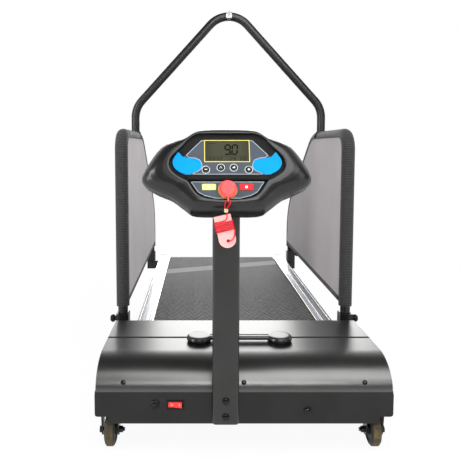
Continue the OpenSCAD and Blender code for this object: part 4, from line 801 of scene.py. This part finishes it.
def panelFace(name, sign, facing):
    s, edge, middle = clothFace, panelOutline(panel["hem"] - clothFace["tuck"]), np.array(clothFace["pole"])
    t = np.linspace(0, 1, s["rings"])[:-1, None] ** s["crowd"]
    yz = middle + (edge - middle)[None] * (1 - t)[:, None]
    ripple = np.sin(runLength(edge) / s["wave"]) * np.exp(-t / s["reach"][1])
    ripple = ripple * (1 - np.exp(-t / s["reach"][0]))
    folds = np.sin(yz[..., 0] / s["folds"][0] + np.sin(yz[..., 1] / s["folds"][1]))
    folds = folds * (1 - np.exp(-t / s["foldReach"])) * (1 - t)
    level = panel["half"] - s["inset"]
    out = level - panel["sag"] * (1 - (1 - t) ** 2) + s["ripple"] * ripple + s["fold"] * folds
    grid = onPanel(yz, facing * out, sign)
    tip = onPanel(middle[None], facing * (level - panel["sag"]), sign)
    rows, cols = grid.shape[:2]
    flip = sign * facing > 0
    flat = np.vstack([yz.reshape(-1, 2), middle]) * mm
    quads, _ = gridFaces(rows, cols, np.zeros(cols + 1), np.zeros(rows), wrap=True, flip=flip)
    k, last = np.arange(cols), (rows - 1) * cols
    fan = np.stack([last + k, last + (k + 1) % cols, np.full(cols, rows * cols)], -1)
    fan = fan[:, ::-1] if flip else fan
    uv = np.vstack([flat[quads.ravel()], flat[fan.ravel()]])
    piece = newPiece(name, np.vstack([grid.reshape(-1, 3), tip]), [*quads, *fan], uv)
    thicken(piece)
    return piece


# section of the band: a flat hem, half a round of radius half about the tube, and the other hem
def bandSection():
    r, hem = panel["half"], panel["hem"]
    g = np.linspace(0, np.pi, 19)
    out = np.concatenate([[r, r], r * np.cos(g), [-r, -r]])
    up = np.concatenate([[-hem, -hem / 2], r * np.sin(g), [-hem / 2, -hem]])
    return out, up


# mesh band: its section carried along the run, s(y, z) + up n, and out of the panel's plane
def panelBand(name, sign, line, normal):
    out, up = bandSection()
    yz = line[:, None] + up[None, :, None] * normal[:, None]
    grid = onPanel(yz, np.broadcast_to(out, yz.shape[:2]), sign)
    along = runLength(line) * mm
    girth = runLength(np.column_stack([out, up])) * mm
    quads, uv = gridFaces(len(line), len(out), girth, along, flip=sign < 0)
    piece = newPiece(name, grid, quads, uv)
    thicken(piece)
    return piece


# cuff where a tube leaves the cloth: a turned ring (r, z) about an upright axis
cuffSet = dict(radii=(13.0, 14.6, 15.3, 15.5), soft=0.8, sides=48, uv=(0.094, 0.02))


def cuffPiece(name, sign, y, z0, z1):
    s, sides = cuffSet, cuffSet["sides"]
    bore, rim, turn, most = s["radii"]
    profile = np.array([(bore, z0), (rim, z0), (turn, z0 + s["soft"]), (most, (z0 + z1) / 2),
                        (turn, z1 - s["soft"]), (rim, z1), (bore, z1)])
    a = angles(sides)
    r, z = profile.T[:, :, None]
    ring = np.stack([r * np.cos(a), r * np.sin(a), z + 0 * a], -1)
    rows = len(ring) + 1
    around, over = np.linspace(0, s["uv"][0], sides + 1), np.linspace(0, s["uv"][1], rows)
    quads, uv = gridFaces(rows, sides, around, over, wrap=True)
    return newPiece(name, placed(ring + [sign * panel["post"], y, 0]), quads % (len(ring) * sides), uv)


# seam welt: a thin round cord along the edge of a face
weltSet = dict(inside=0.3, sunk=0.2, step=6, radius=0.9, sides=6)


def weltPiece(name, sign, facing):
    s, seam = weltSet, panelOutline(panel["hem"] + weltSet["inside"])
    ring = onPanel(np.vstack([seam, seam[:1]]), facing * (panel["half"] - s["sunk"]), sign)
    ring = evenLine(ring, s["step"] * mm)[:-1]
    return tubePiece(name, ring, s["radius"] * mm, s["sides"], (1, 0, 0), closed=True)


# the band's runs, each a line with outward normals: both sides of the arch's socket, and the lower edge
def bandRuns():
    s, count = panel, 60
    line, normal = panelRun(s["foot"])
    first, last = line[:, 0] < s["socketY"] - s["socketGap"], line[:, 0] > s["socketY"] + s["socketGap"]
    ends = [np.array([[s["socketY"] + k * s["socketGap"], s["top"]]]) for k in (-1, 1)]
    up = np.array([[0.0, 1.0]])
    back = np.linspace(s["rear"] - s["lowGap"], s["front"] + s["lowGap"], count)
    low = np.stack([back, np.full(count, s["low"])], -1)
    return {"Front": (np.vstack([line[first], ends[0]]), np.vstack([normal[first], up])),
            "Rear": (np.vstack([ends[1], line[last]]), np.vstack([up, normal[last]])),
            "Low": (low, np.tile((0.0, -1.0), (count, 1)))}


faces = dict(Inner=-1, Outer=1)
cuffs = dict(Front=(panel["front"], 217, 227), Rear=(panel["rear"], 217, 227),  # y, and lower and upper edge
             Socket=(panel["socketY"], 654, 668))
for side, sign in (("Left", -1), ("Right", 1)):
    for word, facing in faces.items():
        face = panelFace("panelFace" + word + side, sign, facing)
        dress(face, finishes["panel_fabric"], "frame")
        if word == "Inner":
            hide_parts("panel_cover_" + side.lower())
    for part, (run, out) in bandRuns().items():
        dress(panelBand("panelBand" + part + side, sign, run, out), bandBlack, "frame")
    for word, facing in faces.items():
        dress(weltPiece("panelWelt" + word + side, sign, facing), trimBlack, "frame")
    for word, (y, z0, z1) in cuffs.items():
        dress(cuffPiece("panelCuff" + word + side, sign, y, z0, z1), trimBlack, "frame")
print("panels covered")


# console face: borders, display segments and button marks

faceSet = dict(panelTop=-2.0, lcdTop=-2.6, roundTop=-0.4, barTop=-0.7, rise=0.12, line=0.8, step=0.7,
               mark=0.1, lcd=(-41.6, 28.4, 41.6, 71.6), lcdBorder=(-0.8, 0.7), lcdRise=0.25, digitRise=0.06,
               collar=(7.5, 6.75),
               display=[(47.3, 71.2), (75.6, 41.4), (70.4, 36.5), (60, 36.1), (50.3, 31.6), (46.1, 22.2),
                        (47.4, 14.9), (53.3, 9.6), (61.5, 5.8), (64.3, 3.6)],
               control=[(66.2, -12), (53.2, -31.4), (42.2, -37.7), (21.6, -43.2)])


# outline moved inwards: each corner shifts to where its two moved edges cross
def insetOutline(points, by):
    p = counterClockwise(points)
    edge = np.roll(p, -1, 0) - p
    edge /= np.linalg.norm(edge, axis=1)[:, None]
    n = np.stack([-edge[:, 1], edge[:, 0]], -1)
    last = np.roll(n, 1, 0)
    return p + by * (n + last) / (1 + np.sum(n * last, 1))[:, None]


# half an outline and its mirror image, joined
def mirroredOutline(half):
    return [*half, *[(-x, y) for x, y in half[::-1]]]


# four corners, counter-clockwise
def rectangle(u0, v0, u1, v1):
    return [(u0, v0), (u1, v0), (u1, v1), (u0, v1)]


# points on a circle, (u + r cos a, v + r sin a)
def disc(u, v, r, count):
    a = angles(count)
    return np.stack([u + r * np.cos(a), v + r * np.sin(a)], -1)


# border line: even steps round the outline, rounded by a running mean, moved out and in by half its width
def borderLines(half, wide):
    p = np.array(mirroredOutline(half), float)
    line = evenLine(np.vstack([p, p[:1]]), faceSet["step"])[:-1]
    line = sum(np.roll(line, k, 0) for k in range(-2, 3)) / 5
    along = np.roll(line, -1, 0) - np.roll(line, 1, 0)
    along /= np.linalg.norm(along, axis=1)[:, None]
    n = np.stack([-along[:, 1], along[:, 0]], -1) * wide / 2
    return line + n, line - n


top, rise = faceSet["panelTop"], faceSet["rise"]
for word in ("display", "control"):
    border = ringOnConsole(word + "Border", *borderLines(faceSet[word], faceSet["line"]), top, rise)
    dress(border, borderPale, "frame")

lcdEdges = [insetOutline(rectangle(*faceSet["lcd"]), by) for by in faceSet["lcdBorder"]]
dress(ringOnConsole("lcdFrame", *lcdEdges, top, faceSet["lcdRise"]), frameYellow, "frame")

# seven bars of a digit: ends of each bar in a cell of width 1 and height 2
barEnds = dict(a=(0, 2, 1, 2), b=(1, 2, 1, 1), c=(1, 1, 1, 0), d=(0, 0, 1, 0), e=(0, 1, 0, 0), f=(0, 2, 0, 1),
               g=(0, 1, 1, 1))
barsOf = {"0": "abcdef", "1": "bc", "2": "abged", "3": "abgcd", "4": "fgbc", "5": "afgcd", "8": "abcdefg",
          "9": "abcdfg"}
digitSet = dict(gap=0.25, lean=0.08)


# a digit's bars as six-point strips, leaning a little to the right
def digitBars(figure, u, v, width, thick):
    bars = []
    for key in barsOf[figure]:
        p, q = np.array(barEnds[key][:2], float) * width, np.array(barEnds[key][2:], float) * width
        d = (q - p) / np.linalg.norm(q - p)
        n, h = np.array([-d[1], d[0]]), thick / 2
        p, q = p + d * h * digitSet["gap"], q - d * h * digitSet["gap"]
        strip = np.array([p, p + d * h + n * h, q - d * h + n * h, q, q - d * h - n * h, p + d * h - n * h])
        strip[:, 0] += digitSet["lean"] * strip[:, 1]
        bars.append(strip + [u, v])
    return bars


# digits side by side, a step apart
def digitRow(text, u, v, width, thick, step):
    return [bar for k, figure in enumerate(text) for bar in digitBars(figure, u + step * k, v, width, thick)]


largeRow, smallRow = (43.6, 9.4, 2.9, 13.4), (31.6, 3.0, 0.8, 6.2)
segments = digitRow("90", -4.4, *largeRow) + [disc(6.9, 43.4, 1.5, 12)]
segments += digitRow("03", -33, *smallRow) + digitRow("42", -19.2, *smallRow)
segments += [disc(-20.6, 33.3, 0.5, 8), disc(-20.2, 36.2, 0.5, 8)]
segments += digitRow("128", 0, *smallRow) + digitRow("50", 24, *smallRow)
segments += [rectangle(-36, 39.6, 36, 39.95)]
segments += [rectangle(-34 + 3.4 * k, 65.4, -31.8 + 3.4 * k, 66.6) for k in range(4)]
digits = marksOnConsole("lcdDigits", segments, faceSet["lcdTop"], faceSet["digitRise"])
dress(digits, digitDark, "frame")

# round buttons: middle and mark of each, with a collar printed round it
roundMarks = {
    "button_minus": (-39.5, 12.5, [rectangle(-2.3, -0.6, 2.3, 0.6)]),
    "button_plus": (39.5, 12.5, [rectangle(-2.3, -0.6, 2.3, 0.6), rectangle(-0.6, 0.62, 0.6, 2.3),
                                 rectangle(-0.6, -2.3, 0.6, -0.62)]),
    "button_preset_left": (-12, 16.5, [disc(x, y, 0.75, 12)
                                       for x, y in ((0, 1.5), (-1.5, -1.1), (1.5, -1.1))]),
    "button_preset_right": (12, 16.5, [rectangle(-2.2, -1.8, -1.0, 0.2), rectangle(-0.6, -1.8, 0.6, 1.2),
                                       rectangle(1.0, -1.8, 2.2, 2.2)]),
}
for node, (u, v, shapes) in roundMarks.items():
    shapes = [np.asarray(shape, float) + [u, v] for shape in shapes]
    mark = marksOnConsole("mark_" + node, shapes, faceSet["roundTop"], faceSet["mark"])
    dress(mark, markWhite, node)
    collar = ringOnConsole("collar_" + node, *[disc(u, v, r, 40) for r in faceSet["collar"]], top, rise)
    dress(collar, markWhite, "frame")

# start and stop: the node that carries each mark, its slot and its outline
barMarks = {"markStart": ("button_start", "start_green", [(-36.0, -24.8), (-31.2, -22.0), (-36.0, -19.2)]),
            "markStop": ("button_stop", "red_plastic", rectangle(31.8, -24.2, 36.2, -19.8))}
for name, (node, slot, shape) in barMarks.items():
    dress(marksOnConsole(name, [shape], faceSet["barTop"], faceSet["mark"]), markWhite, node)
print("console marked")


# floor, background and light

stageSet = dict(reach=7.0, level=-0.0005, pale=0.93, patch=0.91, clouds=(1.5, 2), near=0.93, far=(1.0, 2.2),
                world=0.42, white=1.0, room=0.1, back=(-0.2, 0.5), over=(0.5, 0.8))

corners = rectangle(-stageSet["reach"], -stageSet["reach"], stageSet["reach"], stageSet["reach"])
floor = newPiece("studioFloor", [(x, y, stageSet["level"]) for x, y in corners], [(0, 1, 2, 3)])
floorFinish = Finish("pale studio floor")
tree = floorFinish.tree
greys = [(grey, grey, grey, 1) for grey in (stageSet["pale"], stageSet["patch"])]
floorFinish.give(Base_Color=floorFinish.mix(floorFinish.noise(*stageSet["clouds"]), *greys), Roughness=0.9,
                 Specular_IOR_Level=0.1)


# 1 for rays from the camera, from glossy surfaces and through clear ones
def rayKinds(tree):
    path = tree.nodes.new("ShaderNodeLightPath")
    kinds = ("Is Camera Ray", "Is Glossy Ray", "Is Transmission Ray")
    return [Field(tree, path.outputs[kind]) for kind in kinds]


# white by itself away from the object, with room for the shadow near it
x, y, _ = floorFinish.axes()
seen, glossy, clear = rayKinds(tree)
far = ((x ** 2.0 + y ** 2.0) ** 0.5).ease(*stageSet["far"])
white = seen.most(glossy).most(clear) * (stageSet["near"] + (1 - stageSet["near"]) * far)
glow, blend = tree.nodes.new("ShaderNodeEmission"), tree.nodes.new("ShaderNodeMixShader")
for out, slot in zip((white.socket, floorFinish.shader.outputs[0], glow.outputs[0]), blend.inputs):
    tree.links.new(out, slot)
tree.links.new(blend.outputs[0], tree.nodes["Material Output"].inputs[0])
floor.data.materials.append(floorFinish.material)

world = bpy.data.worlds.new("white studio")
bpy.context.scene.world = world
world.use_nodes = True
tree = world.node_tree
ground = tree.nodes["Background"]
ground.inputs["Color"].default_value = (1, 1, 1, 1)


# white for the camera; reflections see white at the back and near the floor, and a darker room overhead
# and in front
def worldStrength(tree):
    s, parts = stageSet, tree.nodes.new("ShaderNodeSeparateXYZ")
    tree.links.new(tree.nodes.new("ShaderNodeTexCoord").outputs["Generated"], parts.inputs[0])
    back, up = Field(tree, parts.outputs[1]), Field(tree, parts.outputs[2])
    seen, glossy, clear = rayKinds(tree)
    room = s["room"] + (s["white"] - s["room"]) * back.ease(*s["back"]) * (1 - up.ease(*s["over"]))
    plain = s["world"] + (room - s["world"]) * glossy
    return plain + (s["white"] - plain) * seen.most(clear)


tree.links.new(worldStrength(tree).socket, ground.inputs["Strength"])

# soft boxes: place, point looked at, width, height, power, and whether reflections show it
softBoxes = dict(
    keyBox=((0.5, -1.75, 2.4), (0.1, -0.5, 0.2), 2.1, 2.0, 52, True),
    frontBox=((0.2, -3.0, 1.5), (0, -0.3, 0.6), 1.4, 0.4, 22, True),
    leftStrip=((-2.0, -1.4, 1.2), (0, 0.1, 0.5), 0.4, 1.8, 30, True),
    rightStrip=((2.0, -1.8, 1.2), (0, 0, 0.5), 0.35, 1.8, 7, True),
    topBox=((0, 0.6, 3.4), (0, 0.4, 0), 2.4, 2.4, 8, False),
    backBox=((0.3, 3.4, 1.6), (0, -0.3, 0.2), 2.4, 1.7, 58, True))
for name, (at, aim, wide, high, power, shown) in softBoxes.items():
    data = bpy.data.lights.new(name, "AREA")
    data.shape, data.size, data.size_y, data.energy = "RECTANGLE", wide, high, power
    lamp = bpy.data.objects.new(name, data)
    lamp.visible_glossy = shown
    lamp.location = at
    lamp.rotation_euler = (Vector(aim) - Vector(at)).to_track_quat("-Z", "Y").to_euler()
    bpy.context.scene.collection.objects.link(lamp)

bpy.context.scene.view_settings.view_transform = "Standard"
print("stage lit")
